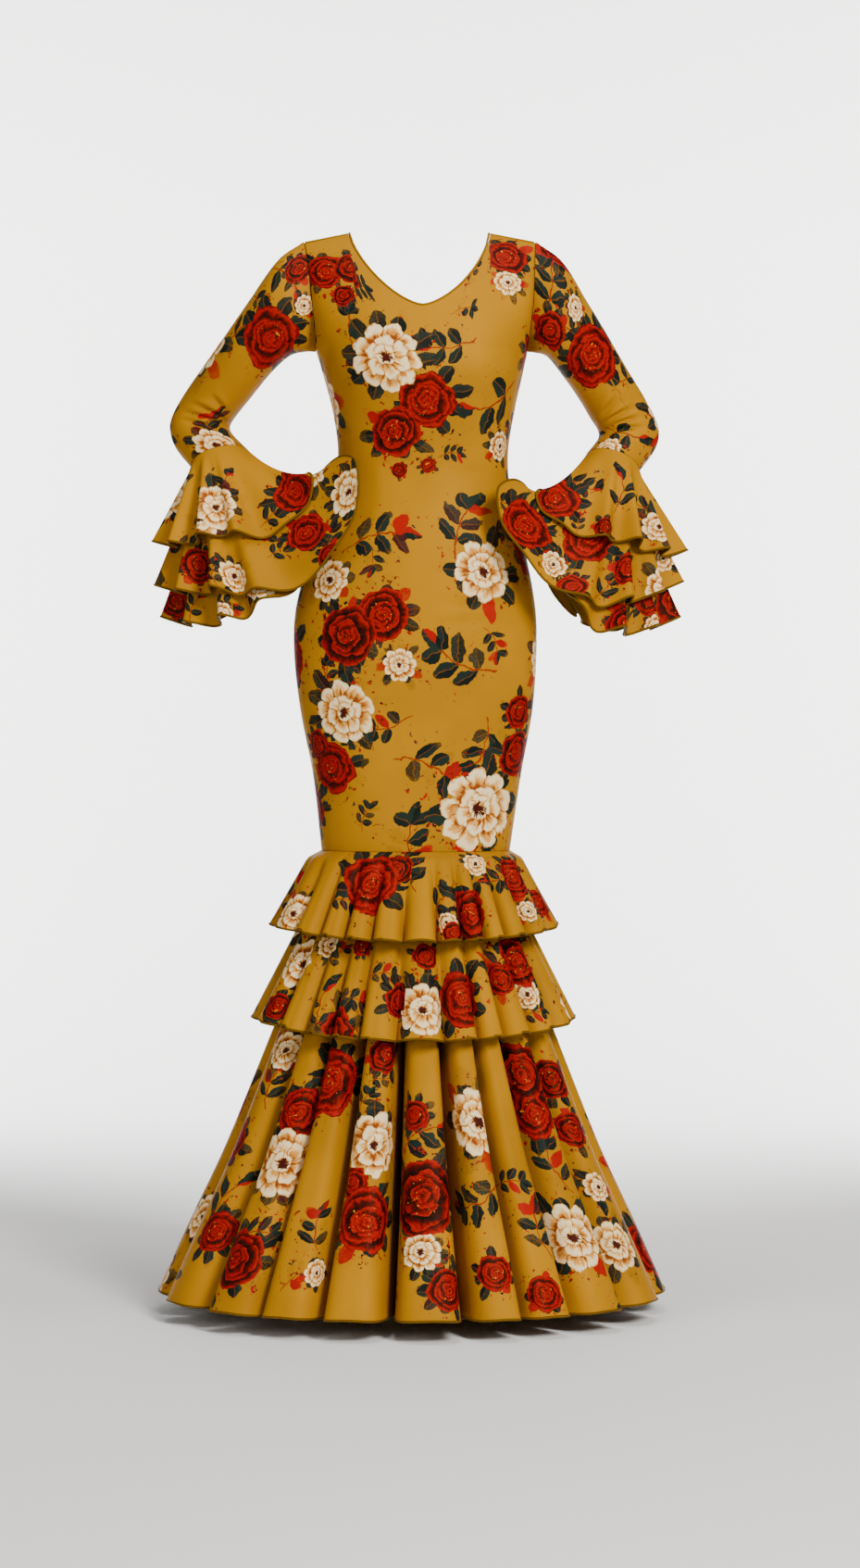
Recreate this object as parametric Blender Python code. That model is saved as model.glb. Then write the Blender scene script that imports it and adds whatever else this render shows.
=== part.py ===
# Flamenco dress, worn pose, hollow: fitted bodice to the knee, long sleeves with three-layer
# cuffs, two ruffle tiers and a flared skirt. Metres, +Z up, the front faces -Y.
# The origin lies on the middle line at the height of the side-neck points.
# Left and right are the wearer's: the left sleeve is on +X.

import bpy
import math
from mathutils import Vector

# Driving dimensions
CLOTH = 0.0013                # thickness of every cloth wall
SEAM = 0.0003                 # air between two pieces where they are sewn together
ROUNDNESS = 2.0 / 2.2         # exponent of the body's cross sections, 1 is an ellipse
SHOULDER_HALF = 0.157         # middle line to shoulder tip
SHOULDER_DROP = 0.0115        # fall of the shoulder seam from side neck to tip
NECK_COLUMN_ANGLE = 36.0      # section angle of the side-neck point
NECK_DEPTH_FRONT = 0.107      # side neck down to the lowest point of the front neckline
NECK_DEPTH_BACK = 0.092
NECK_CURVE = 1.58             # exponent of the rounded V
UNDERARM_Z = -0.161
KNEE_SEAM_Z = -0.8405
ARMHOLE_SCOOP_FRONT = 0.040   # how far the armhole edge swings forward of the side seam
ARMHOLE_SCOOP_BACK = 0.037
ARMHOLE_SETBACK = 0.0015      # sleeve's first ring outside the armhole edge
SHOULDER_SETBACK = 0.0007     # each panel's shoulder edge from the shoulder line
BINDING_RADIUS = 0.0017
ARMHOLE_CURVE = 0.8           # exponent of the armhole's swing, under 1 for a rounder one
YOKE_FULLNESS = 1.6           # how soon below the shoulder the chest reaches its full depth
YOKE_CURVE = 0.8
TIER_UNDER_TOP_Z = -0.895     # where the lower tier is sewn on the skirt
HEM_Z = -1.443                # skirt hem at the sides

# Mesh density
PANEL_COLUMNS = 20
SLEEVE_COLUMNS = 16
POINTS_PER_FLUTE = 6
CUFF_COLUMNS = 54
CUFF_MIDDLE_ROW = 0.45
BINDING_SIDES = 6
EDGE_TOLERANCE = 0.0005       # how near the side-neck point a column counts as on it
SHARP_ANGLE = 60              # edges sharper than this stay crisp, in degrees

# Bodice sections. Columns: height, centre x, half width, front depth, back depth
BODICE_SECTIONS = [
    (UNDERARM_Z, 0.0085, 0.1430, 0.113, 0.100),
    (-0.200, 0.0098, 0.1325, 0.120, 0.098),
    (-0.240, 0.0108, 0.1238, 0.111, 0.090),
    (-0.302, 0.0100, 0.1158, 0.090, 0.080),
    (-0.360, 0.0075, 0.1230, 0.096, 0.096),
    (-0.430, 0.0035, 0.1450, 0.106, 0.120),
    (-0.510, 0.0000, 0.1632, 0.107, 0.134),
    (-0.570, -0.0005, 0.1653, 0.104, 0.131),
    (-0.650, 0.0010, 0.1582, 0.100, 0.114),
    (-0.740, 0.0018, 0.1415, 0.094, 0.099),
    (KNEE_SEAM_Z, 0.0000, 0.1285, 0.090, 0.092),
]
# Body above the underarm. Columns: height, centre x, half width at the armhole edge
YOKE_SECTIONS = [
    (0.000, 0.0048, 0.1575),
    (-0.050, 0.0080, 0.1530),
    (-0.100, 0.0100, 0.1490),
    (UNDERARM_Z, 0.0085, 0.1430),
]
YOKE_ROWS = [0.0, 0.12, 0.28, 0.50, 0.75]
BODICE_ROWS = [UNDERARM_Z, -0.200, -0.235, -0.270, -0.302, -0.340, -0.385, -0.435, -0.490,
               -0.550, -0.610, -0.680, -0.755, KNEE_SEAM_Z]

# Sleeve rings. Columns: outer edge out from the middle plane, its height, inner edge out,
# its height, ring centre's y, half depth front to back
SLEEVE_RINGS = {
    "right": [
        (0.1850, -0.0350, 0.1500, -0.1610, -0.001, 0.050),
        (0.2250, -0.0890, 0.1720, -0.1660, 0.006, 0.048),
        (0.2580, -0.1340, 0.1980, -0.1880, 0.018, 0.044),
        (0.2930, -0.1810, 0.2270, -0.2220, 0.033, 0.042),
        (0.3240, -0.2250, 0.2460, -0.2440, 0.046, 0.040),
        (0.3380, -0.2560, 0.2560, -0.2600, 0.050, 0.040),
        (0.3330, -0.2830, 0.2500, -0.2750, 0.044, 0.040),
        (0.3080, -0.3165, 0.2285, -0.2965, 0.030, 0.040),
    ],
    "left": [
        (0.1970, -0.0370, 0.1620, -0.1620, -0.001, 0.050),
        (0.2310, -0.0890, 0.1800, -0.1670, 0.006, 0.048),
        (0.2600, -0.1340, 0.2000, -0.1900, 0.018, 0.044),
        (0.2890, -0.1810, 0.2230, -0.2210, 0.033, 0.042),
        (0.3170, -0.2250, 0.2400, -0.2480, 0.046, 0.040),
        (0.3340, -0.2620, 0.2520, -0.2680, 0.050, 0.040),
        (0.3310, -0.2860, 0.2490, -0.2820, 0.044, 0.040),
        (0.3060, -0.3230, 0.2340, -0.3000, 0.030, 0.040),
    ],
}

# Hem of the middle cuff layer, all round. Columns: angle round the seam (0 outer, 90 front,
# 180 inner, 270 back), out from the middle plane, y, height, reach of the upper layer and
# of the lower layer as a share of the middle one
CUFF_HEMS = {
    "right": [
        (0, 0.345, 0.030, -0.482, 0.66, 1.24),
        (35, 0.314, -0.035, -0.490, 0.66, 1.22),
        (65, 0.268, -0.085, -0.488, 0.64, 1.18),
        (90, 0.222, -0.107, -0.490, 0.60, 1.08),
        (110, 0.165, -0.119, -0.484, 0.58, 0.98),
        (127, 0.114, -0.126, -0.442, 0.58, 0.80),
        (142, 0.082, -0.126, -0.385, 0.60, 0.74),
        (158, 0.084, -0.114, -0.310, 0.62, 0.68),
        (184, 0.126, -0.052, -0.328, 0.64, 0.70),
        (212, 0.158, -0.004, -0.412, 0.66, 0.84),
        (240, 0.190, 0.044, -0.468, 0.66, 0.96),
        (270, 0.236, 0.085, -0.488, 0.66, 1.10),
        (300, 0.286, 0.104, -0.490, 0.66, 1.18),
        (330, 0.326, 0.080, -0.481, 0.66, 1.24),
    ],
    "left": [
        (0, 0.354, 0.030, -0.478, 0.76, 1.28),
        (35, 0.326, -0.035, -0.492, 0.70, 1.24),
        (65, 0.284, -0.085, -0.502, 0.62, 1.18),
        (90, 0.238, -0.109, -0.504, 0.58, 1.08),
        (110, 0.190, -0.121, -0.482, 0.56, 0.92),
        (127, 0.148, -0.128, -0.444, 0.56, 0.80),
        (142, 0.118, -0.130, -0.400, 0.58, 0.74),
        (158, 0.114, -0.116, -0.346, 0.60, 0.72),
        (184, 0.150, -0.054, -0.350, 0.62, 0.68),
        (212, 0.174, -0.004, -0.448, 0.66, 0.84),
        (240, 0.202, 0.044, -0.512, 0.66, 0.96),
        (270, 0.244, 0.085, -0.516, 0.66, 1.10),
        (300, 0.294, 0.106, -0.488, 0.68, 1.22),
        (330, 0.334, 0.080, -0.483, 0.74, 1.26),
    ],
}
# Cuff layers, top one first. Columns: name, place in the stack, lift from the middle layer
# at its hem, flute depth at its own hem, share of its length where the flutes begin, turn of
# its flutes in degrees
CUFF_LAYERS = [
    ("upper", 0, 0.022, 0.011, 0.05, 0),
    ("middle", -1, 0.0, 0.012, 0.40, 4),
    ("lower", -2, -0.013, 0.012, 0.60, 1),
]
CUFF_SAG = 0.032              # how far the ridge over the forearm hangs below a straight line
CUFF_RIDGE_ANGLE = 170        # where that ridge lies on the seam
CUFF_RIDGE_EASE = 0.90        # how much of the flutes and lift is lost on the ridge
CUFF_START_GAP = 1.5          # first row's distance from the sleeve's end, in seam gaps
CUFF_LEAST_SLOPE = 0.3        # least share of that distance that runs along the sleeve
CUFF_LAYER_GAP = 2            # seam gaps between two layers
CUFF_BLEND = 1.6              # how soon the stacking direction turns to that of the hem
CUFF_TURN_STEP = 2.0          # half the arc over which the hem's direction is taken, degrees
CUFF_TURN_SPREAD = (-16, -8, 0, 8, 16)  # where round the hem that direction is averaged
# Flute crests round a cuff. Columns: angle, depth factor
CUFF_FLUTES = [(2, 1.0), (35, 1.1), (64, 1.0), (94, 0.9), (130, 0.8), (172, 0.8), (216, 0.9),
               (262, 1.0), (312, 1.0)]

# Skirt sections. Columns: height, half width, front depth, back depth, flute depth
SKIRT_SECTIONS = [
    (KNEE_SEAM_Z, 0.1270, 0.0885, 0.0905, 0.0000),
    (TIER_UNDER_TOP_Z, 0.1300, 0.0940, 0.0960, 0.0000),
    (-0.945, 0.1370, 0.1040, 0.1060, 0.0020),
    (-1.000, 0.1530, 0.1250, 0.1270, 0.0040),
    (-1.070, 0.1790, 0.1560, 0.1590, 0.0070),
    (-1.150, 0.2060, 0.1880, 0.1910, 0.0120),
    (-1.250, 0.2420, 0.2270, 0.2300, 0.0170),
    (-1.350, 0.2840, 0.2700, 0.2730, 0.0220),
    (HEM_Z, 0.3220, 0.3120, 0.3140, 0.0260),
]
SKIRT_ROWS = [KNEE_SEAM_Z, TIER_UNDER_TOP_Z, -0.965, -1.060, -1.180, -1.310, HEM_Z]
SKIRT_CENTRE_DRIFT = -0.0055  # centre x at the hem
SKIRT_CREST_ROLL = 0.35       # wide crests, narrow troughs
SKIRT_FLUTES = [(-90, 0.9), (-66, 1.0), (-43, 1.0), (-28, 0.8), (-12, 1.0), (4, 1.1), (19, 1.0),
                (31, 0.8), (47, 1.0), (68, 1.0), (90, 0.9), (112, 1.0), (134, 0.9), (156, 1.1),
                (178, 0.9), (200, 1.0), (223, 1.0), (246, 1.0)]

# Ruffle tiers. Columns: name, top, hem at the sides, puff out from the seam, hem half width,
# hem front depth, hem back depth, flute depth, extra front length
TIERS = [
    ("tier_upper", KNEE_SEAM_Z, -0.9440, 0.0130, 0.1840, 0.1540, 0.1560, 0.0150, 0.014),
    ("tier_lower", TIER_UNDER_TOP_Z, -1.0700, 0.0020, 0.2050, 0.1830, 0.1860, 0.0150, 0.018),
]
TIER_ROWS = [0.0, 0.10, 1.0]
TIER_FLANK_ROLL = 0.2         # slightly steeper flanks between crests and troughs
TIER_TOP_GAP = 2              # seam gaps between the skirt and the lower tier's top
TIER_FLUTES = {
    "tier_upper": [(-88, 0.9), (-68, 1.0), (-47, 1.0), (-34, 0.8), (-22, 0.9), (-10, 0.8), (3, 1.0),
                   (14, 0.8), (24, 0.9), (34, 0.8), (45, 0.9), (61, 1.0), (79, 0.9), (99, 1.0),
                   (118, 0.9), (137, 1.0), (155, 0.9), (173, 1.1), (191, 0.9), (209, 1.0),
                   (228, 0.9), (250, 1.0)],
    "tier_lower": [(-86, 0.9), (-66, 1.0), (-48, 0.9), (-35, 0.8), (-24, 0.9), (-13, 0.8), (3, 1.1),
                   (18, 0.9), (28, 0.8), (40, 0.9), (55, 1.0), (72, 1.0), (90, 0.9), (109, 1.0),
                   (128, 0.9), (146, 1.0), (164, 0.9), (182, 1.1), (200, 0.9), (218, 1.0),
                   (237, 0.9), (255, 1.0)],
}

# Colours of the cloth and of the neck binding
MUSTARD = (0.52, 0.27, 0.035, 1.0)
OLIVE_MUSTARD = (0.30, 0.19, 0.035, 1.0)
CLOTH_ROUGHNESS = 0.62


def smooth_table(rows, period=None):
    """Cubic curve through the rows, whose first column is the place along it."""
    rows = sorted(rows, key=lambda row: row[0])
    if period:
        before = [(row[0] - period,) + tuple(row[1:]) for row in rows[-2:]]
        after = [(row[0] + period,) + tuple(row[1:]) for row in rows[:2]]
        rows = before + list(rows) + after
    places = [row[0] for row in rows]
    last = len(rows) - 1

    def slope(index, column):
        low = max(0, index - 1)
        high = min(last, index + 1)
        return (rows[high][column] - rows[low][column]) / (places[high] - places[low])

    def value(place):
        if period:
            place = (place - places[2]) % period + places[2]
        place = min(max(place, places[0]), places[-1])
        index = 0
        while index < last - 1 and place > places[index + 1]:
            index += 1
        span = places[index + 1] - places[index]
        t = (place - places[index]) / span
        result = []
        for column in range(1, len(rows[0])):
            start = rows[index][column]
            end = rows[index + 1][column]
            rise_start = slope(index, column) * span
            rise_end = slope(index + 1, column) * span
            result.append(
                start * (2 * t**3 - 3 * t**2 + 1) + rise_start * (t**3 - 2 * t**2 + t)
                + end * (3 * t**2 - 2 * t**3) + rise_end * (t**3 - t**2))
        return result

    return value


def signed_power(value, exponent):
    return math.copysign(abs(value) ** exponent, value)


def across(angle):
    """Share of the half width at a section angle, 0 at the front and +1 on +X."""
    return signed_power(math.sin(math.radians(angle)), ROUNDNESS)


def forward(angle):
    """Share of the depth at a section angle, +1 at the front and -1 at the back."""
    return signed_power(math.cos(math.radians(angle)), ROUNDNESS)


def section_point(angle, z, centre_x, half_width, front, back):
    share = forward(angle)
    depth = front if share >= 0 else back
    return Vector((centre_x + half_width * across(angle), -depth * share, z))


bodice_section = smooth_table(BODICE_SECTIONS)
yoke_section = smooth_table(YOKE_SECTIONS)
skirt_section = smooth_table(SKIRT_SECTIONS)
NECK_HALF = SHOULDER_HALF * across(NECK_COLUMN_ANGLE)
SHOULDER_SLOPE = SHOULDER_DROP / (SHOULDER_HALF - NECK_HALF)


def shoulder_height(out):
    return -SHOULDER_SLOPE * max(0.0, out - NECK_HALF)


def top_height(share, neck_depth):
    """Height of a panel's top edge: the neckline, then the shoulder seam."""
    out = abs(share) * SHOULDER_HALF
    if out < NECK_HALF - EDGE_TOLERANCE:
        return -neck_depth * (1 - (out / NECK_HALF) ** NECK_CURVE) ** (1 / NECK_CURVE)
    return shoulder_height(out)


def yoke_point(angle, z, side, scoop, depth_at_underarm):
    """Point of a panel above the underarm. side is -1 on the front and +1 on the back."""
    centre_x, half_width = yoke_section(z)
    share = across(angle)
    ridge = shoulder_height(abs(share) * SHOULDER_HALF)
    drop = min(1.0, max(0.0, (ridge - z) / (ridge - UNDERARM_Z)))
    edge = side * scoop * math.sin(math.pi * drop) ** ARMHOLE_CURVE
    middle = side * depth_at_underarm * (1 - (1 - drop) ** YOKE_FULLNESS) ** YOKE_CURVE
    y = edge + (middle - edge) * abs(forward(angle))
    return Vector((centre_x + half_width * share, y, z))


def panel_grid(side):
    """Rows of points of the front (side -1) or back (side +1) panel, top to bottom."""
    front_panel = side < 0
    neck_depth = NECK_DEPTH_FRONT if front_panel else NECK_DEPTH_BACK
    scoop = ARMHOLE_SCOOP_FRONT if front_panel else ARMHOLE_SCOOP_BACK
    underarm = bodice_section(UNDERARM_Z)
    depth = underarm[2] if front_panel else underarm[3]
    angles = [-90 + 180 * column / PANEL_COLUMNS for column in range(PANEL_COLUMNS + 1)]
    seam_y = side * SEAM / 2
    grid = []
    for share in YOKE_ROWS:
        row = []
        for angle in angles:
            top = top_height(across(angle), neck_depth)
            z = top + (UNDERARM_Z - top) * share
            point = yoke_point(angle, z, side, scoop, depth)
            outside_neck = abs(across(angle)) * SHOULDER_HALF > NECK_HALF - EDGE_TOLERANCE
            if share == 0.0 and outside_neck:
                point.y = side * SHOULDER_SETBACK
            row.append(point)
        grid.append(row)
    for z in BODICE_ROWS:
        centre_x, half_width, front, back = bodice_section(z)
        row = []
        for angle in angles:
            section_angle = angle if front_panel else 180 - angle
            point = section_point(section_angle, z, centre_x, half_width, front, back)
            if abs(angle) == 90:
                point.y = seam_y
            row.append(point)
        grid.append(row)
    return grid


def grid_normals(grid, closed):
    """Unit normals of a grid of points, from the directions along its rows and columns."""
    rows = len(grid)
    columns = len(grid[0])
    normals = []
    for i in range(rows):
        line = []
        for j in range(columns):
            if closed:
                along = grid[i][(j + 1) % columns] - grid[i][j - 1]
            else:
                along = grid[i][min(j + 1, columns - 1)] - grid[i][max(j - 1, 0)]
            down = grid[min(i + 1, rows - 1)][j] - grid[max(i - 1, 0)][j]
            line.append(along.cross(down).normalized())
        normals.append(line)
    return normals


def split_quad(points, a, b, c, d):
    """The quad's two triangles, cut along its shorter diagonal. Both faces of a wall are cut
    the same way, so they never meet where the cloth is twisted."""
    if (points[a] - points[c]).length < (points[b] - points[d]).length:
        return (a, b, c), (a, c, d)
    return (b, c, d), (b, d, a)


def cloth_wall(name, grid, colour, closed=True):
    """A closed solid: the grid of points with half the cloth on each side of it."""
    rows = len(grid)
    columns = len(grid[0])
    normals = grid_normals(grid, closed)
    half = CLOTH / 2
    points = [grid[i][j] + normals[i][j] * half for i in range(rows) for j in range(columns)]
    points += [grid[i][j] - normals[i][j] * half for i in range(rows) for j in range(columns)]
    inner = rows * columns
    faces = []
    spans = columns if closed else columns - 1
    for i in range(rows - 1):
        for j in range(spans):
            k = (j + 1) % columns
            a = i * columns + j
            b = i * columns + k
            for corners in split_quad(points, a, b, b + columns, a + columns):
                faces.append(corners)
                faces.append(tuple(inner + corner for corner in reversed(corners)))
    bottom = (rows - 1) * columns
    for j in range(spans):
        k = (j + 1) % columns
        faces.append((inner + j, inner + k, k, j))
        faces.append((bottom + j, bottom + k, inner + bottom + k, inner + bottom + j))
    if not closed:
        last = columns - 1
        for i in range(rows - 1):
            a = i * columns
            b = a + columns
            faces.append((inner + a, a, b, inner + b))
            faces.append((a + last, inner + a + last, inner + b + last, b + last))
    return solid(name, points, faces, colour)


def solid(name, points, faces, colour):
    mesh = bpy.data.meshes.new(name)
    mesh.from_pydata([tuple(point) for point in points], [], faces)
    volume = 0.0
    for face in faces:
        for corner in range(1, len(face) - 1):
            a = points[face[0]]
            b = points[face[corner]]
            c = points[face[corner + 1]]
            volume += a.dot(b.cross(c))
    if volume < 0:
        mesh.flip_normals()
    mesh.shade_smooth()
    mesh.set_sharp_from_angle(angle=math.radians(SHARP_ANGLE))
    mesh.materials.append(fabric(name, colour))
    piece = bpy.data.objects.new(name, mesh)
    bpy.context.scene.collection.objects.link(piece)
    return piece


def fabric(name, colour):
    material = bpy.data.materials.new(name + "_cloth")
    material.use_nodes = True
    shader = material.node_tree.nodes["Principled BSDF"]
    shader.inputs["Base Color"].default_value = colour
    shader.inputs["Roughness"].default_value = CLOTH_ROUGHNESS
    shader.inputs["Metallic"].default_value = 0.0
    return material


def crest_columns(flutes):
    """Each column round a fluted hem: its crest's angle, the flute's width, the share of that
    width and the depth factor there."""
    columns = []
    count = len(flutes)
    for index in range(count):
        angle, depth = flutes[index]
        next_angle, next_depth = flutes[(index + 1) % count]
        if index == count - 1:
            next_angle += 360
        for step in range(POINTS_PER_FLUTE):
            t = step / POINTS_PER_FLUTE
            factor = depth + (next_depth - depth) * t
            columns.append((angle, next_angle - angle, t, factor))
    return columns


def wave_at(angle, flutes):
    """Height of the wave at an angle, +1 on a full crest and -1 in a full trough."""
    for index, (crest, depth) in enumerate(flutes):
        next_crest, next_depth = flutes[(index + 1) % len(flutes)]
        width = (next_crest - crest) % 360
        offset = (angle - crest) % 360
        if offset < width:
            t = offset / width
            return (depth + (next_depth - depth) * t) * math.cos(2 * math.pi * t)
    return 0.0


def flute_shift(t, crest_roll, flank_roll):
    """How far a column moves along the hem, as a share of its flute's width."""
    wide_crest = crest_roll * math.sin(2 * math.pi * t) / (2 * math.pi)
    steep_flank = flank_roll * math.sin(4 * math.pi * t) / (4 * math.pi)
    return t + wide_crest + steep_flank


def fluted_point(column, z, centre_x, half_width, front, back, flute_depth, rolls, strength):
    """Point on a fluted tube: a body section moved in and out along its own normal."""
    angle, width, t, factor = column
    shifted = flute_shift(t, rolls[0] * strength, rolls[1] * strength)
    turned = angle + width * shifted
    point = section_point(turned, z, centre_x, half_width, front, back)
    depth = front if forward(turned) >= 0 else back
    outward = Vector(((point.x - centre_x) / half_width**2, point.y / depth**2, 0.0)).normalized()
    return point + outward * (flute_depth * factor * math.cos(2 * math.pi * t))


def skirt_centre(z):
    share = math.sqrt(max(0.0, (KNEE_SEAM_Z - z) / (KNEE_SEAM_Z - HEM_Z)))
    knee = BODICE_SECTIONS[-1][1]
    return knee + (SKIRT_CENTRE_DRIFT - knee) * share


def make_skirt():
    columns = crest_columns(SKIRT_FLUTES)
    grid = []
    for row, z in enumerate(SKIRT_ROWS):
        half_width, front, back, flute_depth = skirt_section(z)
        if row == 0:
            z -= SEAM + CLOTH / 2
        strength = (KNEE_SEAM_Z - z) / (KNEE_SEAM_Z - HEM_Z)
        rolls = (SKIRT_CREST_ROLL, 0.0)
        grid.append([fluted_point(column, z, skirt_centre(z), half_width, front, back,
                                  max(0.0, flute_depth), rolls, strength) for column in columns])
    cloth_wall("skirt_flare", grid, MUSTARD)


def make_tier(name, top, hem, puff, hem_half, hem_front, hem_back, flute_depth, front_extra):
    columns = crest_columns(TIER_FLUTES[name])
    if top == KNEE_SEAM_Z:
        top_half, top_front, top_back = bodice_section(top)[1:]
    else:
        clear = CLOTH + TIER_TOP_GAP * SEAM
        top_half, top_front, top_back = [size + clear for size in skirt_section(top)[:3]]
    start = top - SEAM - CLOTH / 2
    grid = []
    for share in TIER_ROWS:
        row = []
        swell = puff if share > 0 else 0.0
        half_width = top_half + swell + (hem_half - top_half - swell) * share
        front = top_front + swell + (hem_front - top_front - swell) * share
        back = top_back + swell + (hem_back - top_back - swell) * share
        for column in columns:
            facing = max(0.0, forward(column[0]))
            end = hem - front_extra * facing**2
            z = start + (end - start) * share
            row.append(fluted_point(column, z, skirt_centre(z), half_width, front, back,
                                    flute_depth * share, (0.0, TIER_FLANK_ROLL), share))
        grid.append(row)
    cloth_wall(name, grid, MUSTARD)


def armhole_point(angle, side):
    """Armhole edge. angle is 0 at the shoulder tip, 90 in front and 180 at the underarm."""
    tip = -SHOULDER_DROP
    drop = (1 - math.cos(math.radians(angle))) / 2
    z = tip + (UNDERARM_Z - tip) * drop
    centre_x, half_width = yoke_section(z)
    in_front = math.sin(math.radians(angle)) >= 0
    scoop = -ARMHOLE_SCOOP_FRONT if in_front else ARMHOLE_SCOOP_BACK
    y = scoop * math.sin(math.pi * drop) ** ARMHOLE_CURVE
    return Vector((centre_x + side * (half_width + ARMHOLE_SETBACK), y, z))


def sleeve_frames(wearer_side, side):
    """Centre, outward vector, forward vector and direction of each sleeve ring."""
    rings = SLEEVE_RINGS[wearer_side]
    centres = []
    outs = []
    for outer_out, outer_z, inner_out, inner_z, y, half_depth in rings:
        outer = Vector((side * outer_out, y, outer_z))
        inner = Vector((side * inner_out, y, inner_z))
        centres.append((outer + inner) / 2)
        outs.append((outer - inner) / 2)
    frames = []
    last = len(rings) - 1
    for index, ring in enumerate(rings):
        along = (centres[min(index + 1, last)] - centres[max(index - 1, 0)]).normalized()
        ahead = outs[index].cross(along) * -side
        if ahead.y > 0:
            ahead = -ahead
        frames.append((centres[index], outs[index], ahead.normalized() * ring[5], along))
    return frames


def ring_point(frame, angle):
    centre, out, ahead = frame[:3]
    turn = math.radians(angle)
    return centre + out * math.cos(turn) + ahead * math.sin(turn)


def make_sleeve(wearer_side, side):
    frames = sleeve_frames(wearer_side, side)
    angles = [360 * column / SLEEVE_COLUMNS for column in range(SLEEVE_COLUMNS)]
    grid = [[armhole_point(angle, side) for angle in angles]]
    for frame in frames:
        grid.append([ring_point(frame, angle) for angle in angles])
    cloth_wall("sleeve_" + wearer_side, grid, MUSTARD)
    return frames[-1]


def make_cuffs(wearer_side, side, frame):
    hem = smooth_table(CUFF_HEMS[wearer_side], period=360)
    along = frame[3]

    def ridge(angle):
        """1 on the ridge over the forearm, 0 on the half that hangs below it."""
        return max(0.0, math.cos(math.radians(angle - CUFF_RIDGE_ANGLE)))

    def guide(angle, share):
        """Point on the middle layer's plain cone, share 0 at the seam and 1 at its hem."""
        out, y, z = hem(angle)[:3]
        start = ring_point(frame, angle)
        end = Vector((side * out, y, z))
        sag = CUFF_SAG * ridge(angle) * 4 * share * (1 - share)
        return start + (end - start) * share - Vector((0.0, 0.0, sag))

    def hem_normal(angle):
        turn = guide(angle + CUFF_TURN_STEP, 1.0) - guide(angle - CUFF_TURN_STEP, 1.0)
        down = guide(angle, 1.0) - guide(angle, 0.0)
        return turn.cross(down).normalized() * side

    def generator(angle):
        return (guide(angle, 1.0) - guide(angle, 0.0)).normalized()

    def outward(angle, share):
        """Direction in which the layers lie on each other, square to the cone: away from the
        sleeve's axis at the seam, and evened out round the narrow ridge at the hem."""
        radial = (ring_point(frame, angle) - frame[0]).normalized()
        run = generator(angle)
        at_seam = (radial - run * radial.dot(run)).normalized()
        at_hem = sum((hem_normal(angle + turn) for turn in CUFF_TURN_SPREAD), Vector())
        at_hem.normalize()
        weight = min(1.0, CUFF_BLEND * share)
        return (at_seam * (1 - weight) + at_hem * weight).normalized()

    angles = [360 * column / CUFF_COLUMNS for column in range(CUFF_COLUMNS)]
    for name, place, lift, flute_depth, flutes_begin, flute_turn in CUFF_LAYERS:
        grid = []
        for angle in angles:
            upper_reach, lower_reach = hem(angle)[3:5]
            reach = {"upper": upper_reach, "middle": 1.0, "lower": lower_reach}[name]
            length = (guide(angle, 1.0) - guide(angle, 0.0)).length
            straight = max(CUFF_LEAST_SLOPE, generator(angle).dot(along))
            slant = max(0.0, -outward(angle, 0.0).dot(along))
            start = CUFF_START_GAP * SEAM / straight / length
            tuck = place * (CLOTH + SEAM * CUFF_LAYER_GAP) - (CLOTH / 2 + SEAM) * slant
            ease = 1 - CUFF_RIDGE_EASE * ridge(angle)
            wave = flute_depth * wave_at(angle - flute_turn, CUFF_FLUTES)
            shares = [start, CUFF_MIDDLE_ROW * upper_reach, upper_reach]
            if name != "upper":
                shares.append(reach)
            column = []
            for share in shares:
                swell = max(0.0, (share / reach - flutes_begin) / (1 - flutes_begin))
                offset = tuck + (lift * share + wave * swell) * ease
                column.append(guide(angle, share) + outward(angle, share) * offset)
            grid.append(column)
        grid = [list(row) for row in zip(*grid)]
        cloth_wall("cuff_" + wearer_side + "_" + name, grid, MUSTARD)


def neck_edge():
    """Neckline points all round with the direction out of the cloth at each one. The two panels
    share one point at each side-neck corner."""
    inside = [j for j in range(PANEL_COLUMNS + 1)
              if abs(across(-90 + 180 * j / PANEL_COLUMNS)) * SHOULDER_HALF < NECK_HALF + EDGE_TOLERANCE]
    points = []
    for side in (-1, 1):
        grid = panel_grid(side)
        normals = grid_normals(grid, closed=False)
        edge = []
        for j in inside:
            before = grid[0][max(j - 1, inside[0])]
            after = grid[0][min(j + 1, inside[-1])]
            direction = (after - before).cross(normals[0][j]).normalized()
            if direction.dot(grid[0][j] - grid[1][j]) < 0:
                direction = -direction
            edge.append((grid[0][j], direction))
        if side < 0:
            edge[0][0].y = 0.0
            edge[-1][0].y = 0.0
            points += edge
        else:
            points += edge[-2:0:-1]
    return points


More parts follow.
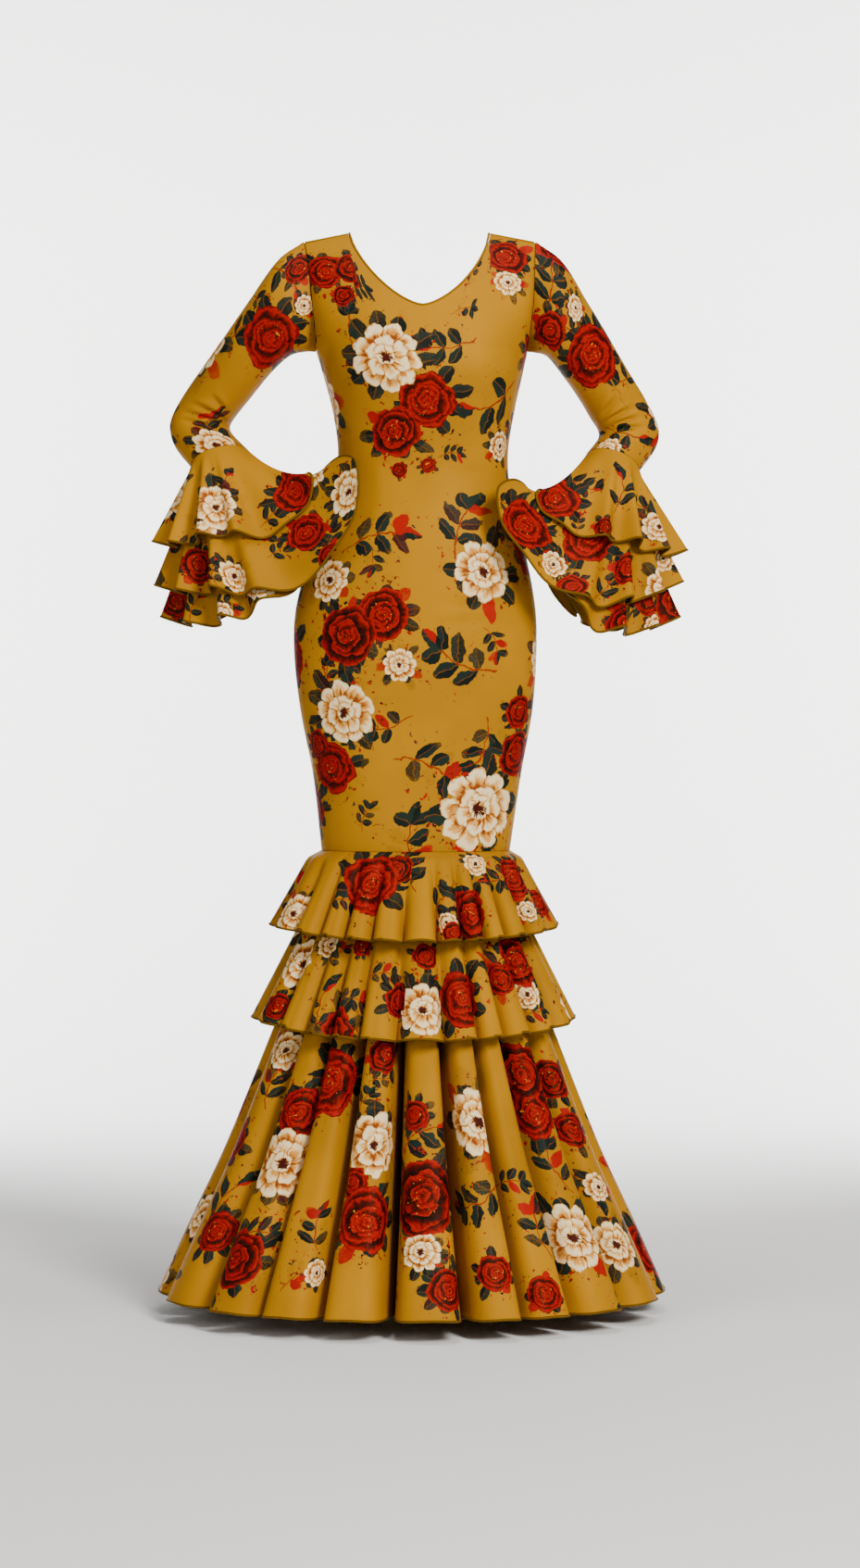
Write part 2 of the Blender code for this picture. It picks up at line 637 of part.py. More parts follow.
def make_binding():
    """Narrow rolled binding that follows the neckline just clear of the panels' edges."""
    edge = neck_edge()
    count = len(edge)
    reach = BINDING_RADIUS + SEAM + CLOTH / 2
    middles = []
    for index in range(count):
        point, direction = edge[index]
        before = edge[index - 1][1]
        after = edge[(index + 1) % count][1]
        smoothed = (before + direction * 2 + after).normalized()
        middles.append(point + smoothed * reach)
    sides = [2 * math.pi * s / BINDING_SIDES for s in range(BINDING_SIDES)]
    points = []
    for index in range(count):
        tangent = (middles[(index + 1) % count] - middles[index - 1]).normalized()
        up = edge[index][1]
        up = (up - tangent * up.dot(tangent)).normalized()
        sideways = tangent.cross(up)
        for turn in sides:
            radial = up * math.cos(turn) + sideways * math.sin(turn)
            points.append(middles[index] + radial * BINDING_RADIUS)
    faces = []
    for index in range(count):
        following = (index + 1) % count
        for s in range(BINDING_SIDES):
            t = (s + 1) % BINDING_SIDES
            a = index * BINDING_SIDES + s
            b = index * BINDING_SIDES + t
            c = following * BINDING_SIDES + t
            d = following * BINDING_SIDES + s
            faces.append((a, b, c, d))
    solid("neck_binding", points, faces, OLIVE_MUSTARD)


def main():
    for item in list(bpy.data.objects):
        bpy.data.objects.remove(item, do_unlink=True)
    cloth_wall("bodice_front", panel_grid(-1), MUSTARD, closed=False)
    cloth_wall("bodice_back", panel_grid(1), MUSTARD, closed=False)
    make_binding()
    for wearer_side, side in (("left", 1), ("right", -1)):
        last_ring = make_sleeve(wearer_side, side)
        make_cuffs(wearer_side, side, last_ring)
    for tier in TIERS:
        make_tier(*tier)
    make_skirt()


main()
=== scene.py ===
# Flamenco dress: cloth, print, hems, seams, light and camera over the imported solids.
# Metres, +Z up, the front faces -Y. Left and right are the wearer's: the left sleeve is on +X.

import math

import bmesh
import bpy
import numpy as np
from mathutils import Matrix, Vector


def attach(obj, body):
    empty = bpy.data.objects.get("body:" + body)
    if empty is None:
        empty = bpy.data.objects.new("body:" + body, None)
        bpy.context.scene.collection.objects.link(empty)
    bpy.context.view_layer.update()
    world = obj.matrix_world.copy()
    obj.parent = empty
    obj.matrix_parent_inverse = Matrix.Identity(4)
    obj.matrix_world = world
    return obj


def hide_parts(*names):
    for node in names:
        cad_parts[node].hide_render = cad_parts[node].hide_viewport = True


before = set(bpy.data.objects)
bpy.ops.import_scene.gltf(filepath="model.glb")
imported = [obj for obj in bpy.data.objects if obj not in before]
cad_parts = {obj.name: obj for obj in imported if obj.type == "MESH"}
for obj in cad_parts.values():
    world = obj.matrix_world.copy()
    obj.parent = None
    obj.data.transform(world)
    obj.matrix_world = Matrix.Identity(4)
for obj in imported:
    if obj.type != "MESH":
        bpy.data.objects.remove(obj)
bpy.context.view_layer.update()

# Sizes of the cut, the same as the solids'
CLOTH = 0.0013
SEAM = 0.0003
ROUNDNESS = 2.0 / 2.2
SHOULDER_HALF = 0.157
SHOULDER_DROP = 0.0115
NECK_COLUMN_ANGLE = 36.0
NECK_DEPTH_FRONT = 0.107
NECK_DEPTH_BACK = 0.092
NECK_CURVE = 1.58
UNDERARM_Z = -0.161
KNEE_SEAM_Z = -0.8405
ARMHOLE_SCOOP_FRONT = 0.040
ARMHOLE_SCOOP_BACK = 0.037
ARMHOLE_SETBACK = 0.0015
SHOULDER_SETBACK = 0.0007
BINDING_RADIUS = 0.0017
ARMHOLE_CURVE = 0.8
YOKE_FULLNESS = 1.6
YOKE_CURVE = 0.8
TIER_UNDER_TOP_Z = -0.895
HEM_Z = -1.443

# What the scene adds to them
SHEET = 0.0009                # thickness of the finer cloth
HEM_RADIUS = 0.0017           # rolled hem
TAPE_WIDTH = 0.011            # seam allowance, across the seam
TAPE_DEPTH = 0.0020           # how far inside the cloth it lies

# Points of the finer cloth
PANEL_COLUMNS = 120
YOKE_ROW_COUNT = 26
BODY_ROW_COUNT = 120
SLEEVE_COLUMNS = 120
SLEEVE_ROW_COUNT = 150
CUFF_COLUMNS = 360
CUFF_ROW_COUNT = 26
FLUTE_POINTS = 24
SKIRT_ROW_COUNT = 64
TIER_ROW_COUNT = 20
TUBE_SIDES = 6
ARMHOLE_TAPE_POINTS = 65
TAPE_ROW_STEP = 4             # a side seam's tape takes every fourth row of its panel
SHARP_ANGLE = 60              # degrees between two faces above which their edge is sharp
EDGE_TOLERANCE = 1e-9
BINDING_PASSES = 3            # smoothing passes over the binding's directions
SKIRT_TROUGH = 0.085          # how much deeper than the crests the troughs are at the hem
TIER_TROUGH = 0.0005
PANEL_POWER = 1.6             # above 1, a flute's crest is a broad flat panel
TROUGH_POWER = 4              # the higher, the narrower the trough
TROUGH_GROWTH = 0.7           # below 1, the skirt's troughs are deep high up already
CUFF_BETWEEN = 0.20           # smaller flutes between the cuffs' main ones, as a share of them
HEM_RISE = 0.0030             # how much a crest's hem lies above the middle, a trough's below
CUFF_RISE = 0.006             # the same on the cuffs, as a share of the length

# Bodice sections. Columns: height, centre x, half width, front depth, back depth
BODICE_SECTIONS = [
    (UNDERARM_Z, 0.0085, 0.1430, 0.113, 0.100),
    (-0.200, 0.0098, 0.1325, 0.120, 0.098),
    (-0.240, 0.0108, 0.1238, 0.111, 0.090),
    (-0.302, 0.0100, 0.1158, 0.090, 0.080),
    (-0.360, 0.0075, 0.1230, 0.096, 0.096),
    (-0.430, 0.0035, 0.1450, 0.106, 0.120),
    (-0.510, 0.0000, 0.1632, 0.107, 0.134),
    (-0.570, -0.0005, 0.1653, 0.104, 0.131),
    (-0.650, 0.0010, 0.1582, 0.100, 0.114),
    (-0.740, 0.0018, 0.1415, 0.094, 0.099),
    (KNEE_SEAM_Z, 0.0000, 0.1285, 0.090, 0.092),
]
# Body above the underarm. Columns: height, centre x, half width at the armhole edge
YOKE_SECTIONS = [
    (0.000, 0.0048, 0.1575),
    (-0.050, 0.0080, 0.1530),
    (-0.100, 0.0100, 0.1490),
    (UNDERARM_Z, 0.0085, 0.1430),
]
# Sleeve rings. Columns: outer edge out from the middle plane, its height, inner edge out,
# its height, ring centre's y, half depth front to back
SLEEVE_RINGS = {
    "right": [
        (0.1850, -0.0350, 0.1500, -0.1610, -0.001, 0.050),
        (0.2250, -0.0890, 0.1720, -0.1660, 0.006, 0.048),
        (0.2580, -0.1340, 0.1980, -0.1880, 0.018, 0.044),
        (0.2930, -0.1810, 0.2270, -0.2220, 0.033, 0.042),
        (0.3240, -0.2250, 0.2460, -0.2440, 0.046, 0.040),
        (0.3380, -0.2560, 0.2560, -0.2600, 0.050, 0.040),
        (0.3330, -0.2830, 0.2500, -0.2750, 0.044, 0.040),
        (0.3080, -0.3165, 0.2285, -0.2965, 0.030, 0.040),
    ],
    "left": [
        (0.1970, -0.0370, 0.1620, -0.1620, -0.001, 0.050),
        (0.2310, -0.0890, 0.1800, -0.1670, 0.006, 0.048),
        (0.2600, -0.1340, 0.2000, -0.1900, 0.018, 0.044),
        (0.2890, -0.1810, 0.2230, -0.2210, 0.033, 0.042),
        (0.3170, -0.2250, 0.2400, -0.2480, 0.046, 0.040),
        (0.3340, -0.2620, 0.2520, -0.2680, 0.050, 0.040),
        (0.3310, -0.2860, 0.2490, -0.2820, 0.044, 0.040),
        (0.3060, -0.3230, 0.2340, -0.3000, 0.030, 0.040),
    ],
}
# Hem of the middle cuff layer, all round. Columns: angle round the seam (0 outer, 90 front,
# 180 inner, 270 back), out from the middle plane, y, height, reach of the upper layer and
# of the lower layer as a share of the middle one
CUFF_HEMS = {
    "right": [
        (0, 0.345, 0.030, -0.482, 0.66, 1.24),
        (35, 0.314, -0.035, -0.490, 0.66, 1.22),
        (65, 0.268, -0.085, -0.488, 0.64, 1.18),
        (90, 0.222, -0.107, -0.490, 0.60, 1.08),
        (110, 0.165, -0.119, -0.484, 0.58, 0.98),
        (127, 0.114, -0.126, -0.442, 0.58, 0.80),
        (142, 0.082, -0.126, -0.385, 0.60, 0.74),
        (158, 0.084, -0.114, -0.310, 0.62, 0.68),
        (184, 0.126, -0.052, -0.328, 0.64, 0.70),
        (212, 0.158, -0.004, -0.412, 0.66, 0.84),
        (240, 0.190, 0.044, -0.468, 0.66, 0.96),
        (270, 0.236, 0.085, -0.488, 0.66, 1.10),
        (300, 0.286, 0.104, -0.490, 0.66, 1.18),
        (330, 0.326, 0.080, -0.481, 0.66, 1.24),
    ],
    "left": [
        (0, 0.354, 0.030, -0.478, 0.76, 1.28),
        (35, 0.326, -0.035, -0.492, 0.70, 1.24),
        (65, 0.284, -0.085, -0.502, 0.62, 1.18),
        (90, 0.238, -0.109, -0.504, 0.58, 1.08),
        (110, 0.190, -0.121, -0.482, 0.56, 0.92),
        (127, 0.148, -0.128, -0.444, 0.56, 0.80),
        (142, 0.118, -0.130, -0.400, 0.58, 0.74),
        (158, 0.114, -0.116, -0.346, 0.60, 0.72),
        (184, 0.150, -0.054, -0.350, 0.62, 0.68),
        (212, 0.174, -0.004, -0.448, 0.66, 0.84),
        (240, 0.202, 0.044, -0.512, 0.66, 0.96),
        (270, 0.244, 0.085, -0.516, 0.66, 1.10),
        (300, 0.294, 0.106, -0.488, 0.68, 1.22),
        (330, 0.334, 0.080, -0.483, 0.74, 1.26),
    ],
}
# Cuff layers, top one first. Columns: name, place in the stack, lift from the middle layer
# at its hem, flute depth at its own hem, share of its length where the flutes begin, turn of
# its flutes in degrees
CUFF_LAYERS = [
    ("upper", 0, 0.022, 0.014, 0.05, 0),
    ("middle", -1, 0.0, 0.015, 0.40, 2),
    ("lower", -2, -0.013, 0.015, 0.60, 1),
]
CUFF_SAG = 0.032
CUFF_RIDGE_ANGLE = 170
CUFF_RIDGE_EASE = 0.90
CUFF_RIDGE_ROOM = 1
CUFF_START_GAP = 1.5
CUFF_LEAST_SLOPE = 0.3
CUFF_LAYER_GAP = 2
CUFF_BLEND = 1.6
CUFF_TURN_STEP = 2.0
CUFF_TURN_SPREAD = (-16, -8, 0, 8, 16)
CUFF_FLUTES = [(2, 1.0), (35, 1.1), (64, 1.0), (94, 0.9), (130, 0.8), (172, 0.8), (216, 0.9),
               (262, 1.0), (312, 1.0)]

# Skirt sections. Columns: height, half width, front depth, back depth, flute depth
SKIRT_SECTIONS = [
    (KNEE_SEAM_Z, 0.1270, 0.0885, 0.0905, 0.0000),
    (TIER_UNDER_TOP_Z, 0.1300, 0.0940, 0.0960, 0.0000),
    (-0.945, 0.1370, 0.1040, 0.1060, 0.0020),
    (-1.000, 0.1530, 0.1250, 0.1270, 0.0040),
    (-1.070, 0.1790, 0.1560, 0.1590, 0.0070),
    (-1.150, 0.2060, 0.1880, 0.1910, 0.0120),
    (-1.250, 0.2420, 0.2270, 0.2300, 0.0170),
    (-1.350, 0.2840, 0.2700, 0.2730, 0.0220),
    (HEM_Z, 0.3220, 0.3120, 0.3140, 0.0260),
]
SKIRT_CENTRE_DRIFT = -0.0055
SKIRT_CREST_ROLL = 0.85
SKIRT_FLUTES = [(-90, 0.9), (-66, 1.0), (-43, 1.0), (-28, 0.8), (-12, 1.0), (4, 1.1), (19, 1.0),
                (31, 0.8), (47, 1.0), (68, 1.0), (90, 0.9), (112, 1.0), (134, 0.9), (156, 1.1),
                (178, 0.9), (200, 1.0), (223, 1.0), (246, 1.0)]
# How deep the trough after each crest is, as a share of the full one
SKIRT_TROUGH_SHARES = (0.5, 1.0, 0.35, 1.0, 1.2, 1.2, 0.8, 1.0, 0.9, 0.6, 1.0, 0.7, 1.1, 0.5, 1.0,
                       0.9, 0.6, 1.0)
# Ruffle tiers. Columns: name, top, hem at the sides, puff out from the seam, hem half width,
# hem front depth, hem back depth, flute depth, extra front length
TIERS = [
    ("tier_upper", KNEE_SEAM_Z, -0.9440, 0.0130, 0.1840, 0.1540, 0.1560, 0.0150, 0.014),
    ("tier_lower", TIER_UNDER_TOP_Z, -1.0700, 0.0020, 0.2075, 0.1880, 0.1905, 0.0150, 0.018),
]
TIER_PUFF_SHARE = 0.10
TIER_CREST_ROLL = 0.72
TIER_ROW_CROWDING = 1.3       # above 1, a tier's rows lie closer together near its seam
TIER_TOP_GAP = 2
TIER_FLUTES = {
    "tier_upper": [(-88, 0.9), (-68, 1.0), (-47, 1.0), (-34, 0.8), (-22, 0.9), (-10, 0.8), (3, 1.0),
                   (14, 0.8), (24, 0.9), (34, 0.8), (45, 0.9), (61, 1.0), (79, 0.9), (99, 1.0),
                   (118, 0.9), (137, 1.0), (155, 0.9), (173, 1.1), (191, 0.9), (209, 1.0),
                   (228, 0.9), (250, 1.0)],
    "tier_lower": [(-86, 0.9), (-66, 1.0), (-48, 0.9), (-35, 0.8), (-24, 0.9), (-13, 0.8), (3, 1.1),
                   (18, 0.9), (28, 0.8), (40, 0.9), (55, 1.0), (72, 1.0), (90, 0.9), (109, 1.0),
                   (128, 0.9), (146, 1.0), (164, 0.9), (182, 1.1), (200, 0.9), (218, 1.0),
                   (237, 0.9), (255, 1.0)],
}

# A crease's ridge: how far from the trough, in widths, and its height as a share of the depth
CREASE_RIDGE_PLACE = 1.8
CREASE_RIDGE_HEIGHT = 0.6
CREASE_FACING = 3             # how soon a crease is full as the cloth turns to its side
# Creases. Columns: x, z, tilt in degrees, length, width, depth, bend, side (-1 front, 1 back)
CREASES = {
    "sleeve_right": [
        (-0.290, -0.2596, -17, 0.078, 0.0036, 0.0042, 2.5, -1),
        (-0.288, -0.2510, -20, 0.074, 0.0036, 0.0046, 2.5, -1),
        (-0.281, -0.2420, -28, 0.068, 0.0038, 0.0040, 3.0, -1),
        (-0.269, -0.2320, -52, 0.044, 0.0042, 0.0030, 2.0, -1),
        (-0.284, -0.2210, -12, 0.080, 0.0050, 0.0036, 2.0, 1),
        (-0.278, -0.2420, 2, 0.070, 0.0044, 0.0032, -2.0, 1),
        (-0.272, -0.2000, -30, 0.060, 0.0050, 0.0030, 2.0, 1),
    ],
    "sleeve_left": [
        (0.286, -0.2650, 10, 0.076, 0.0036, 0.0040, 2.5, -1),
        (0.283, -0.2560, 20, 0.074, 0.0036, 0.0046, 2.5, -1),
        (0.276, -0.2470, 30, 0.066, 0.0038, 0.0042, 3.0, -1),
        (0.264, -0.2360, 54, 0.044, 0.0042, 0.0030, 2.0, -1),
        (0.282, -0.2260, 10, 0.078, 0.0050, 0.0036, 2.0, 1),
        (0.276, -0.2460, -2, 0.068, 0.0044, 0.0032, -2.0, 1),
        (0.270, -0.2080, 32, 0.058, 0.0050, 0.0030, 2.0, 1),
    ],
    "bodice_front": [
        (0.092, -0.508, 3, 0.150, 0.0090, 0.0036, 0.6, -1),
        (0.066, -0.531, 5, 0.120, 0.0080, 0.0024, 0.6, -1),
        (-0.128, -0.176, 48, 0.050, 0.0055, 0.0025, 2.0, -1),
        (0.142, -0.176, -48, 0.046, 0.0055, 0.0023, 2.0, -1),
        (-0.060, -0.318, -6, 0.080, 0.0077, 0.0015, 1.5, -1),
        (0.076, -0.330, 8, 0.070, 0.0077, 0.0015, 1.5, -1),
    ],
    "bodice_back": [
        (0.010, -0.296, 0, 0.150, 0.0088, 0.0032, 0.8, 1),
        (-0.016, -0.326, 4, 0.130, 0.0083, 0.0027, 0.8, 1),
        (0.030, -0.354, -3, 0.110, 0.0077, 0.0021, 0.8, 1),
        (-0.125, -0.180, 46, 0.050, 0.0055, 0.0023, 2.0, 1),
        (0.140, -0.180, -46, 0.050, 0.0055, 0.0023, 2.0, 1),
        (0.060, -0.655, 6, 0.120, 0.0066, 0.0017, 0.8, 1),
        (-0.052, -0.670, -8, 0.100, 0.0066, 0.0015, 0.8, 1),
    ],
}

# Fullness of the worn front, soft and wide. Columns: x, z, spread, height
SWELLS = {
    "bodice_front": [(0.088, -0.182, 0.043, 0.0090), (-0.066, -0.182, 0.043, 0.0090),
                     (0.008, -0.470, 0.060, 0.0025)],
}

# The camera, at the photograph's distance and angle
CAMERA_PLACE = (0.0196, -6.0, -0.643)
CAMERA_PITCH = 1.03           # degrees below level
CAMERA_LENS = 100.8
CAMERA_SENSOR = 36.0

# Printed flowers seen from the front. Columns: kind, x, z, radius, turn in degrees, with x and
# z where the camera sees them on the middle plane. Those first in a list lie on top.
BLOOMS = {
    "bodice_front": [
        ("peony", -0.043, -0.165, 0.049, 20), ("rose", 0.016, -0.230, 0.040, 0),
        ("rose", -0.030, -0.268, 0.035, 130), ("rose", -0.094, -0.547, 0.041, 60),
        ("rose", -0.048, -0.520, 0.036, 200), ("peony", 0.093, -0.462, 0.042, 75),
        ("peony", -0.121, -0.471, 0.030, 10), ("peony", -0.024, -0.587, 0.023, 150),
        ("peony", -0.100, -0.654, 0.044, 300), ("rose", -0.119, -0.730, 0.036, 110),
        ("peony", 0.087, -0.787, 0.057, 0), ("rose", 0.146, -0.711, 0.032, 45),
        ("rose", -0.087, -0.043, 0.026, 80), ("rose", -0.124, -0.046, 0.029, 250),
        ("rose", 0.124, -0.025, 0.031, 190), ("peony", 0.127, -0.068, 0.020, 40),
        ("peony", 0.124, -0.290, 0.021, 0), ("rose", 0.019, -0.314, 0.011, 0),
        ("rose", -0.022, -0.322, 0.011, 90), ("rose", 0.148, -0.655, 0.024, 0),
        ("rose", -0.100, -0.085, 0.016, 0), ("peony", -0.136, -0.420, 0.018, 0),
        ("rose", -0.140, -0.700, 0.022, 10),
    ],
    "sleeve_right": [
        ("rose", -0.197, -0.148, 0.043, 0), ("peony", -0.271, -0.285, 0.030, 60),
        ("peony", -0.150, -0.100, 0.014, 0), ("rose", -0.160, -0.045, 0.022, 0),
    ],
    "sleeve_left": [
        ("rose", 0.244, -0.167, 0.043, 30), ("peony", 0.224, -0.098, 0.017, 0),
        ("rose", 0.182, -0.135, 0.026, 90), ("peony", 0.258, -0.288, 0.019, 90),
    ],
    "cuff_right_upper": [
        ("rose", -0.164, -0.352, 0.034, 40), ("peony", -0.276, -0.372, 0.036, 10),
        ("peony", -0.306, -0.385, 0.034, 100),
    ],
    "cuff_right_middle": [
        ("peony", -0.096, -0.352, 0.032, 0), ("rose", -0.222, -0.400, 0.028, 0),
        ("rose", -0.150, -0.405, 0.030, 80), ("peony", -0.245, -0.465, 0.024, 0),
        ("rose", -0.292, -0.450, 0.026, 30), ("rose", -0.112, -0.440, 0.018, 0),
    ],
    "cuff_right_lower": [
        ("peony", -0.215, -0.478, 0.026, 20), ("rose", -0.330, -0.505, 0.024, 0),
        ("peony", -0.270, -0.520, 0.020, 0),
    ],
    "cuff_left_upper": [
        ("rose", 0.190, -0.362, 0.036, 0), ("peony", 0.334, -0.400, 0.024, 0),
        ("rose", 0.262, -0.400, 0.018, 0),
    ],
    "cuff_left_middle": [
        ("rose", 0.150, -0.398, 0.040, 10), ("rose", 0.240, -0.412, 0.042, 90),
        ("peony", 0.186, -0.452, 0.020, 0), ("peony", 0.340, -0.440, 0.018, 0),
        ("rose", 0.215, -0.480, 0.022, 60), ("rose", 0.300, -0.455, 0.024, 0),
    ],
    "cuff_left_lower": [
        ("rose", 0.325, -0.500, 0.022, 0), ("peony", 0.335, -0.532, 0.016, 0),
    ],
    "tier_upper": [
        ("rose", -0.062, -0.890, 0.046, 0), ("rose", 0.087, -0.930, 0.040, 120),
        ("peony", -0.176, -0.927, 0.030, 0), ("peony", 0.087, -0.852, 0.018, 0),
        ("rose", 0.146, -0.876, 0.028, 60), ("peony", 0.036, -0.940, 0.016, 0),
        ("peony", 0.157, -0.925, 0.016, 90), ("rose", -0.022, -0.868, 0.022, 90),
        ("rose", 0.180, -0.910, 0.020, 0), ("rose", 0.060, -0.955, 0.018, 0),
    ],
    "tier_lower": [
        ("peony", 0.010, -1.065, 0.040, 0), ("rose", 0.068, -1.042, 0.042, 40),
        ("rose", 0.145, -0.990, 0.040, 200), ("peony", -0.155, -0.995, 0.036, 30),
        ("peony", 0.150, -1.036, 0.022, 0), ("rose", -0.030, -1.045, 0.026, 0),
        ("rose", -0.075, -0.978, 0.014, 0), ("rose", 0.118, -1.020, 0.024, 80),
        ("peony", -0.118, -0.975, 0.020, 0), ("rose", 0.020, -0.990, 0.020, 150),
        ("rose", -0.205, -1.050, 0.020, 0),
    ],
    "skirt_flare": [
        ("rose", -0.128, -1.160, 0.050, 20), ("rose", -0.152, -1.200, 0.036, 140),
        ("peony", -0.192, -1.272, 0.050, 60), ("peony", -0.056, -1.242, 0.046, 0),
        ("rose", 0.004, -1.316, 0.054, 0), ("rose", -0.066, -1.350, 0.046, 220),
        ("peony", 0.008, -1.386, 0.028, 0), ("peony", 0.092, -1.208, 0.048, 100),
        ("rose", 0.136, -1.146, 0.046, 10), ("rose", 0.160, -1.200, 0.040, 250),
        ("peony", 0.223, -1.370, 0.048, 45), ("peony", 0.291, -1.382, 0.036, 120),
        ("rose", -0.254, -1.402, 0.042, 80), ("rose", -0.284, -1.362, 0.030, 0),
        ("peony", -0.302, -1.342, 0.032, 200), ("peony", -0.187, -1.112, 0.028, 0),
        ("rose", 0.050, -1.440, 0.030, 0), ("rose", 0.198, -1.150, 0.030, 60),
        ("rose", 0.182, -1.452, 0.026, 0), ("rose", 0.108, -1.425, 0.026, 0),
        ("rose", -0.030, -1.120, 0.026, 30), ("peony", 0.262, -1.300, 0.022, 0),
        ("rose", -0.100, -1.290, 0.024, 70), ("peony", -0.130, -1.420, 0.020, 0),
        ("rose", -0.012, -1.200, 0.022, 0), ("rose", 0.225, -1.215, 0.026, 200),
    ],
}
# Leaf sprigs seen from the front. Columns: x, z, radius, turn in degrees
SPRIGS = {
    "bodice_front": [
        (0.036, -0.155, 0.039, 180), (0.103, -0.237, 0.051, 200), (-0.049, -0.406, 0.046, 10),
        (0.054, -0.585, 0.051, 150), (0.062, -0.390, 0.044, 60), (-0.040, -0.675, 0.032, 190),
        (0.092, -0.708, 0.041, 250), (0.024, -0.730, 0.044, 330), (-0.011, -0.826, 0.044, 90),
        (-0.093, -0.118, 0.029, 90), (-0.075, -0.070, 0.027, 40), (0.075, -0.040, 0.024, 20),
        (-0.096, -0.585, 0.037, 250), (-0.070, -0.790, 0.020, 60), (0.130, -0.400, 0.024, 0),
        (0.110, -0.560, 0.024, 290), (-0.085, -0.190, 0.022, 100), (0.068, -0.100, 0.022, 340),
        (-0.125, -0.600, 0.027, 80), (0.050, -0.300, 0.017, 0), (-0.060, -0.445, 0.022, 280),
    ],
    "sleeve_right": [
        (-0.237, -0.122, 0.034, 60), (-0.170, -0.060, 0.041, 20), (-0.282, -0.262, 0.032, 100),
        (-0.215, -0.095, 0.027, 0),
    ],
    "sleeve_left": [
        (0.188, -0.060, 0.044, 170), (0.292, -0.272, 0.034, 190), (0.212, -0.130, 0.027, 60),
        (0.268, -0.130, 0.024, 200),
    ],
    "cuff_right_upper": [
        (-0.190, -0.378, 0.027, 0), (-0.252, -0.335, 0.027, 80), (-0.300, -0.432, 0.024, 0),
        (-0.180, -0.338, 0.015, 0),
    ],
    "cuff_right_middle": [
        (-0.120, -0.420, 0.032, 40), (-0.180, -0.430, 0.022, 0), (-0.085, -0.380, 0.022, 200),
        (-0.275, -0.455, 0.022, 90),
    ],
    "cuff_right_lower": [
        (-0.255, -0.505, 0.022, 0), (-0.300, -0.500, 0.022, 60),
    ],
    "cuff_left_upper": [
        (0.230, -0.345, 0.029, 180), (0.285, -0.345, 0.034, 90), (0.220, -0.390, 0.017, 60),
        (0.310, -0.370, 0.027, 20),
    ],
    "cuff_left_middle": [
        (0.192, -0.440, 0.027, 0), (0.272, -0.470, 0.034, 120), (0.130, -0.368, 0.024, 90),
    ],
    "cuff_left_lower": [
        (0.300, -0.500, 0.024, 30),
    ],
    "tier_upper": [
        (-0.011, -0.860, 0.037, 100), (0.042, -0.905, 0.034, 30), (-0.184, -0.892, 0.034, 60),
        (0.116, -0.880, 0.029, 200), (-0.100, -0.905, 0.024, 0), (0.140, -0.905, 0.020, 100),
    ],
    "tier_lower": [
        (-0.189, -1.050, 0.041, 40), (-0.132, -1.045, 0.041, 90), (-0.085, -1.045, 0.027, 0),
        (0.022, -1.030, 0.027, 70), (0.110, -1.000, 0.034, 200), (0.170, -1.060, 0.022, 0),
        (-0.040, -1.010, 0.024, 0), (-0.110, -0.985, 0.022, 50),
    ],
    "skirt_flare": [
        (0.010, -1.228, 0.044, 20), (-0.271, -1.310, 0.044, 60), (0.168, -1.350, 0.039, 90),
        (0.071, -1.325, 0.046, 200), (-0.220, -1.363, 0.032, 0), (0.191, -1.270, 0.041, 100),
        (0.060, -1.425, 0.041, 250), (-0.130, -1.360, 0.032, 90), (-0.152, -1.420, 0.029, 30),
        (0.030, -1.290, 0.029, 160), (-0.180, -1.200, 0.034, 120), (-0.080, -1.180, 0.024, 60),
        (0.245, -1.300, 0.034, 300), (-0.030, -1.150, 0.022, 0), (0.128, -1.290, 0.027, 0),
        (-0.205, -1.155, 0.034, 80),
    ],
}
# Flowers and sprigs scattered on the hidden sides. Kinds and radii are taken in turn
HIDDEN_BLOOMS = [("rose", 0.042), ("peony", 0.045), ("rose", 0.036), ("peony", 0.024),
                 ("rose", 0.030), ("peony", 0.034)]
HIDDEN_BLOOM_ROOM = 1.15      # least distance between two flowers, in sums of their radii
HIDDEN_SPRIG_RADII = (0.036, 0.028, 0.042, 0.021, 0.032)
SPRIG_ROOM = 0.95
HIDDEN_TRIES = 900
FACING_PULL = 0.0006          # how much a flower prefers cloth that faces the camera, m2
DEPTH_PULL = 0.005            # and cloth that lies nearer to it, m2 per metre
HIDDEN_FACING = -0.15         # a place counts as hidden where its normal's y is above this
SEED_STEP = 0.381
SEED_START = 0.13
SEED_LIMIT = 0.98
FAR = 9.0                     # a print coordinate that is out of every motif
RING_REACH = 1.75             # how far out a motif draws, in radii
LAYER_ROOM = 1.35             # two flowers nearer than this go on two layers, in sums of radii

# Noises. Columns: scale, detail, roughness
WOBBLE_NOISE = (60.0, 2.0, 0.55)      # bends the motifs' outlines
MOTTLE_NOISE = (230.0, 2.0, 0.6)      # spots inside them
DEBRIS_NOISE = (125.0, 3.0, 0.6)      # flecks round them
STREAK_NOISE = (2.6, 2.0, 0.6)        # streaks out from a flower's centre
BROAD_NOISE = (7.0, 2.0, 0.5)         # slow change of the ground
PLAIN_NOISE = (14.0, 2.0, 0.5)        # the same on plain cloth and on the floor
FLOOR_NOISE = (0.7, 1.0, 0.5)
GRAIN_NOISE = (1500.0, 2.0, 0.6)      # crepe grain and its coarser slubs
SLUB_NOISE = (260.0, 1.0, 0.5)
SLUB_SHARE = 0.6

# Flowers, in shares of their radius
BLOOM_WOBBLE = 0.34
STREAK_SPOKES = 1.7                   # how closely the streaks lie round a flower
STREAK_LENGTH = 0.9
ROSE_STREAK = 1.5                     # strength of the streaks
PEONY_STREAK = 2.4
ROSE_TONES = 0.26                     # how much one rose differs from another
ROSE_MOTTLE = 0.5
PEONY_MOTTLE = 0.2
GLINT_ABOVE = 0.70
GLINT_REACH = 0.50
GLINT_SHARE = 0.8
HEART_RADIUS = 0.15
HEART_STREAK = 0.4

